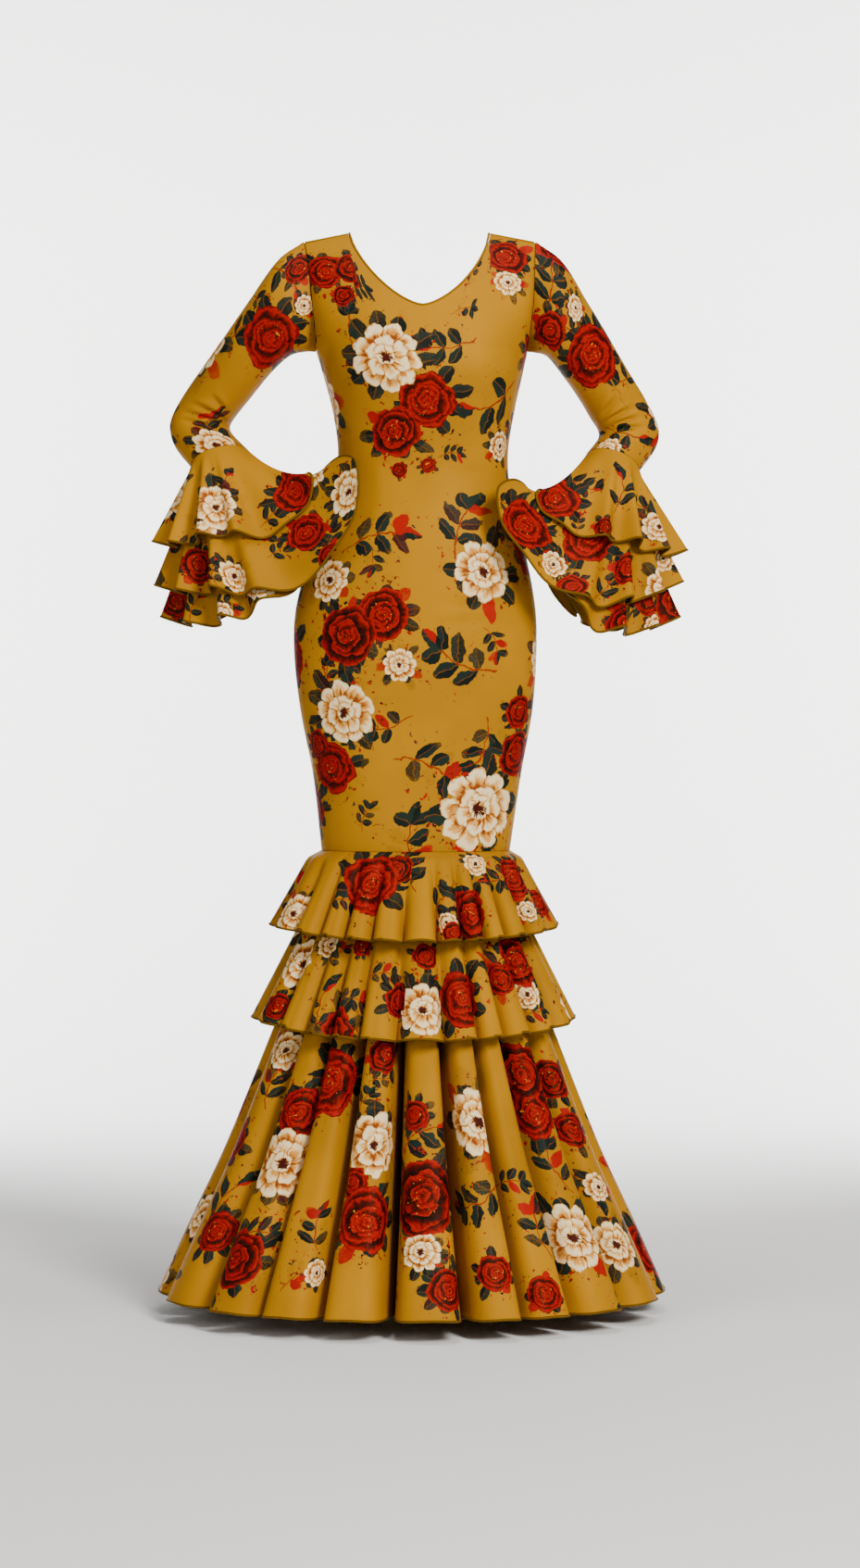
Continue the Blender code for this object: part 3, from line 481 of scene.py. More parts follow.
# Leaf sprigs and leaf fans, in shares of their radius
SPRIG_WOBBLE = 0.30
SPRIG_FLECKS = 0.650                  # the higher, the fewer flecks
SPRIG_FLECK_REACH = 1.3
SPRIG_BUDS = 0.90                     # share of the leaves that aren't red
STEM_CURVE = 0.26
STEM_HALF_WIDTH = 0.026
STEM_ENDS = (-1.20, 0.45)
PAIR_COUNT = 3
PAIR_START = 0.95
PAIR_SPACING = 0.54
PAIR_LEAN = 0.62
PAIR_ROOM = 0.46
PAIR_MISSING = 0.14
PAIR_LENGTHS = (0.60, 0.26)           # shortest, and how much longer the longest is
PAIR_FOOT = 0.03
PAIR_HALF_WIDTH = 0.195
TIP_START = 0.40
TIP_LENGTH = 0.78
TIP_HALF_WIDTH = 0.210
SPRIG_VEIN = 0.014
SPRIG_LEAF_POWER = 0.7                # above 0.5, a leaf's ends are pointed
FAN_WOBBLE = 0.22
FAN_FLECKS = 0.615
FAN_FLECK_REACH = 1.45
FAN_BUDS = 0.88
FAN_LENGTHS = (0.64, 0.40)
FAN_JITTER = 0.3
FAN_VEIN = 0.010
FAN_LEAF_POWER = 0.75
SEED_SPREAD = 91.0                    # how far apart two motifs' seeds are for the dice

# Cloth finish
GRAIN_DEPTH = 0.0004
PRINT_GRAIN = 0.16            # strength of the grain on the print, and on plain cloth
PLAIN_GRAIN = 0.12
STITCH_ABOVE_HEM = 0.0062     # the stitched line's place, half width and depth in grain heights
STITCH_HALF_WIDTH = 0.0006
STITCH_DEPTH = 1.5
PRINT_ROUGHNESS = 0.52
REVERSE_ROUGHNESS = 0.62
EDGE_ROUGHNESS = 0.5
CLOTH_SPECULAR = 0.07
SPECULAR_TINT = (1.0, 0.80, 0.50, 1.0)

# Colours, linear
GROUND = (0.440, 0.192, 0.0020, 1.0)
REVERSE = (0.230, 0.098, 0.0020, 1.0)
HEM_COLOUR = (0.150, 0.072, 0.0025, 1.0)
BINDING_COLOUR = (0.350, 0.150, 0.0020, 1.0)
LEAF_DARK = (0.0040, 0.0085, 0.0085, 1.0)
LEAF_LIGHT = (0.0150, 0.0270, 0.0200, 1.0)
LEAF_VEIN = (0.180, 0.055, 0.0040, 1.0)
STEM = (0.260, 0.026, 0.0030, 1.0)
BUD = (0.360, 0.0060, 0.0030, 1.0)
GLINT = (0.800, 0.280, 0.0080, 1.0)
CENTRE = (0.050, 0.0060, 0.0040, 1.0)
# Ramps from a petal's rim to its shaded base. Columns: place, colour
ROSE_RAMP = [(0.00, (0.150, 0.0030, 0.0020, 1)), (0.10, (0.380, 0.0070, 0.0030, 1)),
             (0.32, (0.240, 0.0040, 0.0025, 1)), (0.56, (0.055, 0.0030, 0.0020, 1)),
             (1.00, (0.006, 0.0025, 0.0020, 1))]
PEONY_RAMP = [(0.00, (0.360, 0.1000, 0.0060, 1)), (0.06, (0.700, 0.4200, 0.1400, 1)),
              (0.15, (0.920, 0.7200, 0.4000, 1)), (0.34, (0.930, 0.7200, 0.4000, 1)),
              (0.62, (0.760, 0.3500, 0.0600, 1)), (1.00, (0.240, 0.0500, 0.0050, 1))]
# Petal rings, outer first. Columns: radius, petals, turn, shift of its centre
ROSE_RINGS = [(1.00, 5, 0.0, 0.00, 0.00), (0.74, 4, 0.8, 0.05, -0.05), (0.53, 4, 2.1, -0.04, 0.06),
              (0.34, 3, 0.6, 0.05, 0.06), (0.18, 3, 1.7, 0.02, 0.03)]
PEONY_RINGS = [(1.00, 9, 0.0, 0.00, 0.00), (0.62, 6, 0.5, 0.05, -0.04), (0.32, 4, 1.1, 0.02, 0.06)]


def smooth_table(rows, period=None):
    """Cubic curve through the rows, whose first column is the place along it."""
    rows = np.array(sorted(rows), float)
    if period:
        before = rows[-2:].copy()
        before[:, 0] -= period
        after = rows[:2].copy()
        after[:, 0] += period
        rows = np.vstack([before, rows, after])
    places = rows[:, 0]
    values = rows[:, 1:]
    last = len(rows) - 1
    low = np.maximum(np.arange(last + 1) - 1, 0)
    high = np.minimum(np.arange(last + 1) + 1, last)
    slopes = (values[high] - values[low]) / (places[high] - places[low])[:, None]

    def value(place):
        place = np.asarray(place, float)
        if period:
            place = (place - places[2]) % period + places[2]
        place = np.clip(place, places[0], places[-1])
        index = np.clip(np.searchsorted(places, place) - 1, 0, last - 1)
        span = (places[index + 1] - places[index])[..., None]
        t = (place - places[index])[..., None] / span
        return (values[index] * (2 * t**3 - 3 * t**2 + 1)
                + slopes[index] * span * (t**3 - 2 * t**2 + t)
                + values[index + 1] * (3 * t**2 - 2 * t**3)
                + slopes[index + 1] * span * (t**3 - t**2))

    return value


def unit(vectors):
    return vectors / np.maximum(np.linalg.norm(vectors, axis=-1, keepdims=True), 1e-12)


def signed_power(value, exponent):
    return np.sign(value) * np.abs(value) ** exponent


def across(angle):
    return signed_power(np.sin(np.radians(angle)), ROUNDNESS)


def forward(angle):
    return signed_power(np.cos(np.radians(angle)), ROUNDNESS)


def section_point(angle, z, centre_x, half_width, front, back):
    share = forward(angle)
    depth = np.where(share >= 0, front, back)
    return np.stack(np.broadcast_arrays(centre_x + half_width * across(angle), -depth * share, z), -1)


bodice_section = smooth_table(BODICE_SECTIONS)
yoke_section = smooth_table(YOKE_SECTIONS)
skirt_section = smooth_table(SKIRT_SECTIONS)
NECK_HALF = SHOULDER_HALF * across(NECK_COLUMN_ANGLE)
SHOULDER_SLOPE = SHOULDER_DROP / (SHOULDER_HALF - NECK_HALF)


def shoulder_height(out):
    return -SHOULDER_SLOPE * np.maximum(0.0, out - NECK_HALF)


def top_height(share, neck_depth):
    """Height of a panel's top edge: the neckline, then the shoulder seam."""
    out = np.abs(share) * SHOULDER_HALF
    inside = np.clip(out / NECK_HALF, 0.0, 1.0)
    neckline = -neck_depth * (1 - inside**NECK_CURVE) ** (1 / NECK_CURVE)
    return np.where(out < NECK_HALF, neckline, shoulder_height(out))


def panel_grid(side):
    """Rows of points of the front (side -1) or back (side +1) panel, top to bottom."""
    neck_depth = NECK_DEPTH_FRONT if side < 0 else NECK_DEPTH_BACK
    scoop = ARMHOLE_SCOOP_FRONT if side < 0 else ARMHOLE_SCOOP_BACK
    depth = bodice_section(UNDERARM_Z)[2 if side < 0 else 3]
    angles = np.linspace(-90, 90, PANEL_COLUMNS + 1)
    share = across(angles)
    top = top_height(share, neck_depth)
    ridge = shoulder_height(np.abs(share) * SHOULDER_HALF)
    rows = []
    for down in np.linspace(0, 1, YOKE_ROW_COUNT)[:-1]:
        z = top + (UNDERARM_Z - top) * down
        centre_x, half_width = yoke_section(z).T
        drop = np.clip((ridge - z) / (ridge - UNDERARM_Z), 0, 1)
        edge = side * scoop * np.sin(np.pi * drop) ** ARMHOLE_CURVE
        middle = side * depth * (1 - (1 - drop) ** YOKE_FULLNESS) ** YOKE_CURVE
        y = edge + (middle - edge) * np.abs(forward(angles))
        if down == 0:
            on_shoulder = np.abs(share) * SHOULDER_HALF >= NECK_HALF
            y = np.where(on_shoulder, side * SHOULDER_SETBACK, y)
        rows.append(np.stack([centre_x + half_width * share, y, z], -1))
    section_angles = angles if side < 0 else 180 - angles
    for z in np.linspace(UNDERARM_Z, KNEE_SEAM_Z, BODY_ROW_COUNT):
        row = section_point(section_angles, z, *bodice_section(z))
        row[[0, -1], 1] = side * SEAM / 2
        rows.append(row)
    return np.array(rows)


def crest_columns(flutes, shares=None):
    """Crest angle, flute width, share of it, its depth and its trough's share, column by column."""
    crests = np.array([crest for crest, depth in flutes], float)
    depths = np.array([depth for crest, depth in flutes])
    widths = np.roll(crests, -1) - crests
    widths[-1] += 360
    t = np.arange(FLUTE_POINTS) / FLUTE_POINTS
    factor = depths[:, None] + (np.roll(depths, -1) - depths)[:, None] * t
    spread = np.ones_like(factor)
    shares = np.ones(len(flutes)) if shares is None else np.array(shares)
    return ((crests[:, None] * spread).ravel(), (widths[:, None] * spread).ravel(),
            (t * spread).ravel(), factor.ravel(), (shares[:, None] * spread).ravel())


def fluted_row(columns, z, centre_x, half_width, front, back, flute_depth, roll, strength, trough):
    """Row of a fluted tube: a body section moved in and out along its own normal."""
    crest, width, t, factor, shares = columns
    turned = crest + width * (t + roll * strength * np.sin(2 * np.pi * t) / (2 * np.pi))
    point = section_point(turned, z, centre_x, half_width, front, back)
    depth = np.where(forward(turned) >= 0, front, back)
    outward = np.stack([(point[:, 0] - centre_x) / half_width**2, point[:, 1] / depth**2,
                        np.zeros(len(t))], -1)
    wave = np.cos(2 * np.pi * t)
    low = (1 - wave) / 2
    filled = flute_depth * np.maximum(0.0, 1 - shares) * low**2
    panel = flute_depth * (1 - 2 * low**PANEL_POWER)
    moved = factor * (panel + filled - trough * shares * low**TROUGH_POWER)
    point = point + unit(outward) * moved[:, None]
    point[:, 2] += HEM_RISE * strength**2 * factor * wave
    return point


def skirt_centre(z):
    share = np.sqrt(np.maximum(0.0, (KNEE_SEAM_Z - z) / (KNEE_SEAM_Z - HEM_Z)))
    knee = BODICE_SECTIONS[-1][1]
    return knee + (SKIRT_CENTRE_DRIFT - knee) * share


def skirt_grid():
    columns = crest_columns(SKIRT_FLUTES, SKIRT_TROUGH_SHARES)
    rows = []
    for z in np.linspace(KNEE_SEAM_Z - SEAM - CLOTH / 2, HEM_Z, SKIRT_ROW_COUNT):
        half_width, front, back, flute_depth = skirt_section(z)
        strength = (KNEE_SEAM_Z - z) / (KNEE_SEAM_Z - HEM_Z)
        rows.append(fluted_row(columns, z, skirt_centre(z), half_width, front, back,
                               max(0.0, flute_depth), SKIRT_CREST_ROLL, strength,
                               SKIRT_TROUGH * max(0.0, strength) ** TROUGH_GROWTH))
    return np.array(rows)


def tier_grid(name, top, hem, puff, hem_half, hem_front, hem_back, flute_depth, front_extra):
    columns = crest_columns(TIER_FLUTES[name])
    if top == KNEE_SEAM_Z:
        top_sizes = bodice_section(top)[1:]
    else:
        top_sizes = skirt_section(top)[:3] + CLOTH + TIER_TOP_GAP * SEAM
    start = top - SEAM - CLOTH / 2
    hem_sizes = np.array([hem_half, hem_front, hem_back])
    facing = np.maximum(0.0, forward(columns[0]))
    end = hem - front_extra * facing**2
    rows = []
    for share in np.linspace(0, 1, TIER_ROW_COUNT) ** TIER_ROW_CROWDING:
        swell = puff * min(1.0, share / TIER_PUFF_SHARE)
        sizes = top_sizes + swell + (hem_sizes - top_sizes - swell) * share
        z = start + (end - start) * share
        rows.append(fluted_row(columns, z, skirt_centre(z), *sizes, flute_depth * share,
                               TIER_CREST_ROLL, share, TIER_TROUGH * share))
    return np.array(rows)


def armhole_points(angles, side):
    """Armhole edge. The angle is 0 at the shoulder tip, 90 in front and 180 at the underarm."""
    drop = (1 - np.cos(np.radians(angles))) / 2
    z = -SHOULDER_DROP + (UNDERARM_Z + SHOULDER_DROP) * drop
    centre_x, half_width = yoke_section(z).T
    scoop = np.where(np.sin(np.radians(angles)) >= 0, -ARMHOLE_SCOOP_FRONT, ARMHOLE_SCOOP_BACK)
    y = scoop * np.sin(np.pi * drop) ** ARMHOLE_CURVE
    return np.stack([centre_x + side * (half_width + ARMHOLE_SETBACK), y, z], -1)


def sleeve_frames(wearer_side, side):
    """Centre, outward vector, forward vector and direction of each sleeve ring."""
    rings = np.array(SLEEVE_RINGS[wearer_side])
    outer = np.stack([side * rings[:, 0], rings[:, 4], rings[:, 1]], -1)
    inner = np.stack([side * rings[:, 2], rings[:, 4], rings[:, 3]], -1)
    centres = (outer + inner) / 2
    outs = (outer - inner) / 2
    last = len(rings) - 1
    following = np.minimum(np.arange(last + 1) + 1, last)
    previous = np.maximum(np.arange(last + 1) - 1, 0)
    along = unit(centres[following] - centres[previous])
    ahead = np.cross(outs, along)
    ahead *= -np.sign(ahead[:, 1:2])
    return centres, outs, unit(ahead) * rings[:, 5:6], along


def ring_points(frames, index, angles):
    turn = np.radians(angles)[..., None]
    return frames[0][index] + frames[1][index] * np.cos(turn) + frames[2][index] * np.sin(turn)


def sleeve_grid(wearer_side, side):
    frames = sleeve_frames(wearer_side, side)
    angles = np.linspace(0, 360, SLEEVE_COLUMNS, endpoint=False)
    rings = [armhole_points(angles, side)]
    rings += [ring_points(frames, index, angles) for index in range(len(frames[0]))]
    rings = np.array(rings)
    gaps = np.linalg.norm(np.diff(rings.mean(axis=1), axis=0), axis=1)
    places = np.concatenate([[0.0], np.cumsum(gaps)])
    table = smooth_table([(place,) + tuple(ring.ravel()) for place, ring in zip(places, rings)])
    rows = table(np.linspace(0, places[-1], SLEEVE_ROW_COUNT))
    return rows.reshape(SLEEVE_ROW_COUNT, SLEEVE_COLUMNS, 3)


def wave_at(angle, flutes, times=1):
    """Height of the wave at each angle, +1 on a crest and -1 in a trough, so many times a flute."""
    crests = np.array([crest for crest, depth in flutes], float)
    depths = np.array([depth for crest, depth in flutes])
    angle = (angle - crests[0]) % 360 + crests[0]
    index = np.searchsorted(crests, angle, side="right") - 1
    following = (index + 1) % len(flutes)
    width = (crests[following] - crests[index]) % 360
    t = (angle - crests[index]) / width
    return (depths[index] + (depths[following] - depths[index]) * t) * np.cos(2 * np.pi * t * times)


def cuff_grids(wearer_side, side):
    """The three layers of one cuff, each on the same plain cone, top layer first."""
    frames = sleeve_frames(wearer_side, side)
    centre = frames[0][-1]
    along = frames[3][-1]
    hem = smooth_table(CUFF_HEMS[wearer_side], period=360)
    angles = np.linspace(0, 360, CUFF_COLUMNS, endpoint=False)
    ridge = np.maximum(0.0, np.cos(np.radians(angles - CUFF_RIDGE_ANGLE)))

    def hem_points(angle):
        table = hem(angle)
        return np.stack([side * table[..., 0], table[..., 1], table[..., 2]], -1)

    def hem_normal(angle):
        turn = hem_points(angle + CUFF_TURN_STEP) - hem_points(angle - CUFF_TURN_STEP)
        down = hem_points(angle) - ring_points(frames, -1, angle)
        return unit(np.cross(turn, down)) * side

    seam = ring_points(frames, -1, angles)
    run = hem_points(angles) - seam
    length = np.linalg.norm(run, axis=-1)
    direction = unit(run)
    radial = unit(seam - centre)
    at_seam = unit(radial - direction * np.sum(radial * direction, -1, keepdims=True))
    at_hem = unit(sum(hem_normal(angles + turn) for turn in CUFF_TURN_SPREAD))
    straight = np.maximum(CUFF_LEAST_SLOPE, direction @ along)
    slant = np.maximum(0.0, -(at_seam @ along))
    start = CUFF_START_GAP * SEAM / straight / length
    ease = 1 - CUFF_RIDGE_EASE * ridge
    apart = CLOTH + SEAM * (CUFF_LAYER_GAP + CUFF_RIDGE_ROOM * ridge)
    upper_reach, lower_reach = hem(angles)[:, 3:5].T
    grids = []
    for name, place, lift, flute_depth, flutes_begin, flute_turn in CUFF_LAYERS:
        reach = {"upper": upper_reach, "middle": np.ones(CUFF_COLUMNS), "lower": lower_reach}[name]
        tuck = place * apart - (CLOTH / 2 + SEAM) * slant
        wave = flute_depth * wave_at(angles - flute_turn, CUFF_FLUTES)
        between = flute_depth * wave_at(angles - flute_turn, CUFF_FLUTES, 2) * CUFF_BETWEEN
        wave += between * (1 - ridge) ** 2
        rows = []
        for step in np.linspace(0, 1, CUFF_ROW_COUNT):
            share = start + (reach * (1 - CUFF_RISE * wave / flute_depth * step) - start) * step
            swell = np.maximum(0.0, (share / reach - flutes_begin) / (1 - flutes_begin))
            weight = np.minimum(1.0, CUFF_BLEND * share)[:, None]
            outward = unit(at_seam * (1 - weight) + at_hem * weight)
            offset = tuck + (lift * share + wave * swell) * ease
            sag = CUFF_SAG * ridge * 4 * share * (1 - share)
            row = seam + run * share[:, None] + outward * offset[:, None]
            row[:, 2] -= sag
            rows.append(row)
        grids.append((name, np.array(rows)))
    return grids


def grid_normals(grid, closed):
    """Unit normals of a grid, pointing out of the garment."""
    if closed:
        along = np.roll(grid, -1, axis=1) - np.roll(grid, 1, axis=1)
    else:
        along = np.gradient(grid, axis=1)
    normals = unit(np.cross(along, np.gradient(grid, axis=0)))
    outwards = np.sum((grid - grid.mean(axis=1, keepdims=True)) * normals)
    return normals if outwards > 0 else -normals


def crease(grid, normals, creases):
    """Moves the grid along its normals: a soft trough with a low ridge beside it for each row."""
    moved = np.zeros(grid.shape[:2])
    for x, z, tilt, length, width, depth, bend, side in creases:
        turn = math.radians(tilt)
        dx = grid[..., 0] - x
        dz = grid[..., 2] - z
        along = dx * math.cos(turn) + dz * math.sin(turn)
        beside = -dx * math.sin(turn) + dz * math.cos(turn) + bend * along**2
        fade = np.maximum(0.0, 1 - (2 * along / length) ** 2) ** 2
        trough = np.exp(-((beside / width) ** 2))
        ridge = np.exp(-(((beside - CREASE_RIDGE_PLACE * width) / width) ** 2))
        faces = np.clip(side * normals[..., 1] * CREASE_FACING, 0, 1)
        moved += depth * fade * faces * (CREASE_RIDGE_HEIGHT * ridge - trough)
    return grid + normals * moved[..., None]


def swell(grid, normals, swells):
    """Moves the grid outwards in soft round places."""
    moved = np.zeros(grid.shape[:2])
    for x, z, spread, height in swells:
        away = ((grid[..., 0] - x) ** 2 + (grid[..., 2] - z) ** 2) / spread**2
        moved += height * np.exp(-away)
    return grid + normals * moved[..., None]


class Sheet:
    """A grid of cloth with its lengths along the rows and down the columns."""

    def __init__(self, name, grid, closed):
        self.name = name
        self.closed = closed
        normals = grid_normals(grid, closed)
        for shape, table in ((swell, SWELLS), (crease, CREASES)):
            if name in table:
                grid = shape(grid, normals, table[name])
                normals = grid_normals(grid, closed)
        self.grid = grid
        self.normals = normals
        steps = np.linalg.norm(np.roll(grid, -1, axis=1) - grid, axis=-1)
        spans = steps if closed else steps[:, :-1]
        self.widths = spans.sum(axis=1)
        self.across = np.concatenate([np.zeros((len(grid), 1)), np.cumsum(steps, axis=1)[:, :-1]], 1)
        drops = np.linalg.norm(np.diff(grid, axis=0), axis=-1)
        self.down = np.concatenate([np.zeros((1, grid.shape[1])), np.cumsum(drops, axis=0)])
        self.flat = (float(self.widths.max()), float(self.down[-1].mean()))
        self.area = float(np.sum((spans[:-1] + spans[1:]) / 2 * drops[:, :spans.shape[1]]))

    def local(self, row, column, radius, turn):
        """Print coordinates of every point round one of them, 1 at the motif's radius."""
        u = self.across - self.across[:, column:column + 1]
        if self.closed:
            round_it = self.widths[:, None]
            u = (u + round_it / 2) % round_it - round_it / 2
        v = self.down[row] - self.down
        angle = math.radians(turn)
        return np.stack([(u * math.cos(angle) + v * math.sin(angle)) / radius,
                         (v * math.cos(angle) - u * math.sin(angle)) / radius], -1)

    def seen_at(self, x, z):
        """Row and column of the point that the camera sees at x, z of the middle plane."""
        away = self.grid[..., 1] - CAMERA_PLACE[1]
        scale = -CAMERA_PLACE[1] / away
        seen_x = CAMERA_PLACE[0] + (self.grid[..., 0] - CAMERA_PLACE[0]) * scale
        seen_z = CAMERA_PLACE[2] + (self.grid[..., 2] - CAMERA_PLACE[2]) * scale
        miss = (seen_x - x) ** 2 + (seen_z - z) ** 2 + FACING_PULL * (self.normals[..., 1] + 1)
        miss += self.normals[..., 1] > 0
        miss += DEPTH_PULL * (self.grid[..., 1] - self.grid[..., 1].min())
        return np.unravel_index(np.argmin(miss), miss.shape)


def seed_of(index):
    """A number from 0 to 0.98 that differs from motif to motif."""
    return (index * SEED_STEP + SEED_START) % SEED_LIMIT


def motifs_of(sheet, order):
    """Flowers and sprigs of a sheet as row, column, radius, turn and kind number with seed."""
    draws = np.random.default_rng(order)
    blooms = []
    sprigs = []
    for kind, x, z, radius, turn in BLOOMS.get(sheet.name, ()):
        blooms.append((*sheet.seen_at(x, z), radius, turn, kind == "peony"))
    for x, z, radius, turn in SPRIGS.get(sheet.name, ()):
        sprigs.append((*sheet.seen_at(x, z), radius, turn, False))
    rows, columns = sheet.grid.shape[:2]

    def scatter(placed, others, choices, room):
        for attempt in range(HIDDEN_TRIES):
            row = int(draws.integers(rows))
            column = int(draws.integers(columns))
            radius, peony = choices[len(placed) % len(choices)]
            turn = float(draws.uniform(0, 360))
            keep = draws.uniform() * sheet.widths.max() < sheet.widths[row]
            if not keep or sheet.normals[row, column, 1] < HIDDEN_FACING:
                continue
            place = sheet.grid[row, column]
            near = [np.linalg.norm(place - sheet.grid[m[0], m[1]]) < (radius + m[2]) * room
                    for m in placed + others]
            if not any(near):
                placed.append((row, column, radius, turn, peony))

    scatter(blooms, [], [(radius, kind == "peony") for kind, radius in HIDDEN_BLOOMS],
            HIDDEN_BLOOM_ROOM)
    scatter(sprigs, blooms, [(radius, False) for radius in HIDDEN_SPRIG_RADII], SPRIG_ROOM)
    return blooms, sprigs


def bloom_layers(sheet, blooms):
    """Splits the flowers over two layers, so that two that touch are never on the same one."""
    over = []
    under = []

    def crowd(layer, bloom):
        place = sheet.grid[bloom[0], bloom[1]]
        return sum(np.linalg.norm(place - sheet.grid[m[0], m[1]]) < (bloom[2] + m[2]) * LAYER_ROOM
                   for m in layer)

    for bloom in blooms:
        layer = over if crowd(over, bloom) <= crowd(under, bloom) else under
        layer.append(bloom)
    return over, under


def print_corners(sheet, quads, motifs):
    """Print coordinates at each quad's corners, of the motif nearest to the quad."""
    best = np.full(len(quads), RING_REACH)
    chosen = np.full((len(quads), 4, 3), FAR)
    for index, (row, column, radius, turn, peony) in enumerate(motifs):
        local = sheet.local(row, column, radius, turn).reshape(-1, 2)[quads]
        away = np.linalg.norm(local.mean(axis=1), axis=-1)
        width = np.ptp(local[..., 0], axis=1)
        take = (away < best) & (width < 1.0)
        best = np.where(take, away, best)
        chosen[take, :, :2] = local[take]
        chosen[take, :, 2] = float(peony) + seed_of(index)
    return chosen


def new_mesh(name, points, faces, *materials):
    mesh = bpy.data.meshes.new(name)
    mesh.from_pydata(points, [], faces)
    for material in materials:
        mesh.materials.append(material)
    return mesh


def write_layer(mesh, title, domain, values):
    layer = mesh.attributes.new(title, "FLOAT_VECTOR", domain)
    layer.data.foreach_set("vector", values.astype(np.float32).ravel())


def cloth_mesh(sheet, materials, motifs):
    """Thin closed shell on the sheet: print outside, plain reverse inside."""
    rows, columns = sheet.grid.shape[:2]
    spans = columns if sheet.closed else columns - 1
    i, j = np.meshgrid(np.arange(rows - 1), np.arange(spans), indexing="ij")
    k = (j + 1) % columns
    quads = np.stack([i * columns + j, i * columns + k, (i + 1) * columns + k,
                      (i + 1) * columns + j], -1).reshape(-1, 4)
    points = sheet.grid.reshape(-1, 3)
    facing = np.cross(points[quads[:, 2]] - points[quads[:, 0]],
                      points[quads[:, 3]] - points[quads[:, 1]])
    flipped = np.sum(facing * sheet.normals.reshape(-1, 3)[quads[:, 0]]) < 0
    if flipped:
        quads = quads[:, ::-1]
    inner = rows * columns
    half = SHEET / 2
    normals = sheet.normals.reshape(-1, 3)
    vertices = np.vstack([points + normals * half, points - normals * half])
    edges = []
    top = np.arange(spans)
    for base in (0, (rows - 1) * columns):
        a = base + top
        b = base + (top + 1) % columns
        edges.append(np.stack([a, b, b + inner, a + inner], -1))
    if not sheet.closed:
        down = np.arange(rows - 1) * columns
        for base in (0, columns - 1):
            a = base + down
            b = a + columns
            edges.append(np.stack([a, b, b + inner, a + inner], -1))
    rim = np.vstack(edges)
    faces = np.vstack([quads, quads[:, ::-1] + inner, rim])
    mesh = new_mesh(sheet.name + "_cloth", vertices, faces, *materials)
    kinds = np.concatenate([np.zeros(len(quads)), np.ones(len(quads)), np.full(len(rim), 2)])
    mesh.polygons.foreach_set("material_index", kinds.astype(np.int32))
    blooms, sprigs = motifs
    over, under = bloom_layers(sheet, blooms)
    layers = (("bloom_over", over), ("bloom_under", under), ("fan", blooms), ("sprig", sprigs))
    for title, placed in layers:
        corners = np.full((len(faces), 4, 3), FAR)
        corners[:len(quads)] = print_corners(sheet, quads, placed)
        write_layer(mesh, title, "CORNER", corners)
    to_hem = sheet.down[-1] - sheet.down
    place = np.stack([sheet.across, sheet.down, to_hem], -1).reshape(-1, 3)
    write_layer(mesh, "cut", "POINT", np.vstack([place, place]))
    mesh.update()
    fix_normals(mesh)
    mesh.shade_smooth()
    mesh.set_sharp_from_angle(angle=math.radians(SHARP_ANGLE))
    return mesh


def fix_normals(mesh):
    """Turns every face of a closed mesh to point out of its wall."""
    work = bmesh.new()
    work.from_mesh(mesh)
    bmesh.ops.recalc_face_normals(work, faces=work.faces)
    work.to_mesh(mesh)
    work.free()


def add_piece(name, mesh, replaced=()):
    piece = bpy.data.objects.new(name, mesh)
    bpy.context.scene.collection.objects.link(piece)
    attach(piece, "root")
    if replaced:
        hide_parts(*replaced)
    return piece


def swept_mesh(name, corners, closed, material):
    """Surface through the corners' paths: a closed ring of them, or a bar with two ends."""
    points = np.stack(corners, 1).reshape(-1, 3)
    count = len(corners[0])
    sides = len(corners)
    spans = count if closed else count - 1
    i, s = np.meshgrid(np.arange(spans), np.arange(sides), indexing="ij")
    t = (s + 1) % sides
    here = i * sides
    ahead = (i + 1) % count * sides
    faces = np.stack([here + s, here + t, ahead + t, ahead + s], -1).reshape(-1, 4).tolist()
    if not closed:
        faces += [list(range(sides)), list(range((count - 1) * sides, count * sides))]
    mesh = new_mesh(name, points, faces, material)
    fix_normals(mesh)
    if closed:
        mesh.shade_smooth()
    return mesh


def tube_mesh(name, path, radius, material, ups=np.array([0.0, 0.0, 1.0])):
    """Tube round a closed path of points."""
    tangent = unit(np.roll(path, -1, axis=0) - np.roll(path, 1, axis=0))
    up = unit(ups - tangent * np.sum(ups * tangent, -1, keepdims=True))
    sideways = np.cross(tangent, up)
    rings = [path + (up * math.cos(turn) + sideways * math.sin(turn)) * radius
             for turn in 2 * np.pi * np.arange(TUBE_SIDES) / TUBE_SIDES]
    return swept_mesh(name, rings, True, material)


def strip_mesh(name, path, across_strip, out, material):
    """Flat tape along a path: its width runs along across_strip and its face along out."""
    corners = [path + across_strip * a * TAPE_WIDTH / 2 + out * b * SHEET / 2
               for a, b in ((-1, 1), (1, 1), (1, -1), (-1, -1))]
    return swept_mesh(name, corners, False, material)


class Term:
    """A number inside a shader, worked out by Math nodes."""

    def __init__(self, tree, socket):
        self.tree = tree
        self.socket = socket

    def math(self, operation, *others):
        values = dict(enumerate((self,) + others))
        return Term(self.tree, new_node(self.tree, "Math", values, operation=operation).outputs[0])

    def __add__(self, other):
        return self.math("ADD", other)

    def __sub__(self, other):
        return self.math("SUBTRACT", other)

    def __mul__(self, other):
        return self.math("MULTIPLY", other)

    def __truediv__(self, other):
        return self.math("DIVIDE", other)

    def __pow__(self, other):
        return self.math("POWER", other)

    def __lt__(self, other):
        return self.math("LESS_THAN", other)

    def __gt__(self, other):
        return self.math("GREATER_THAN", other)


def feed(tree, slot, value):
    """Links a socket or Term to an input, or sets it."""
    if isinstance(value, Term):
        tree.links.new(value.socket, slot)
    elif isinstance(value, bpy.types.NodeSocket):
        tree.links.new(value, slot)
    else:
        slot.default_value = value


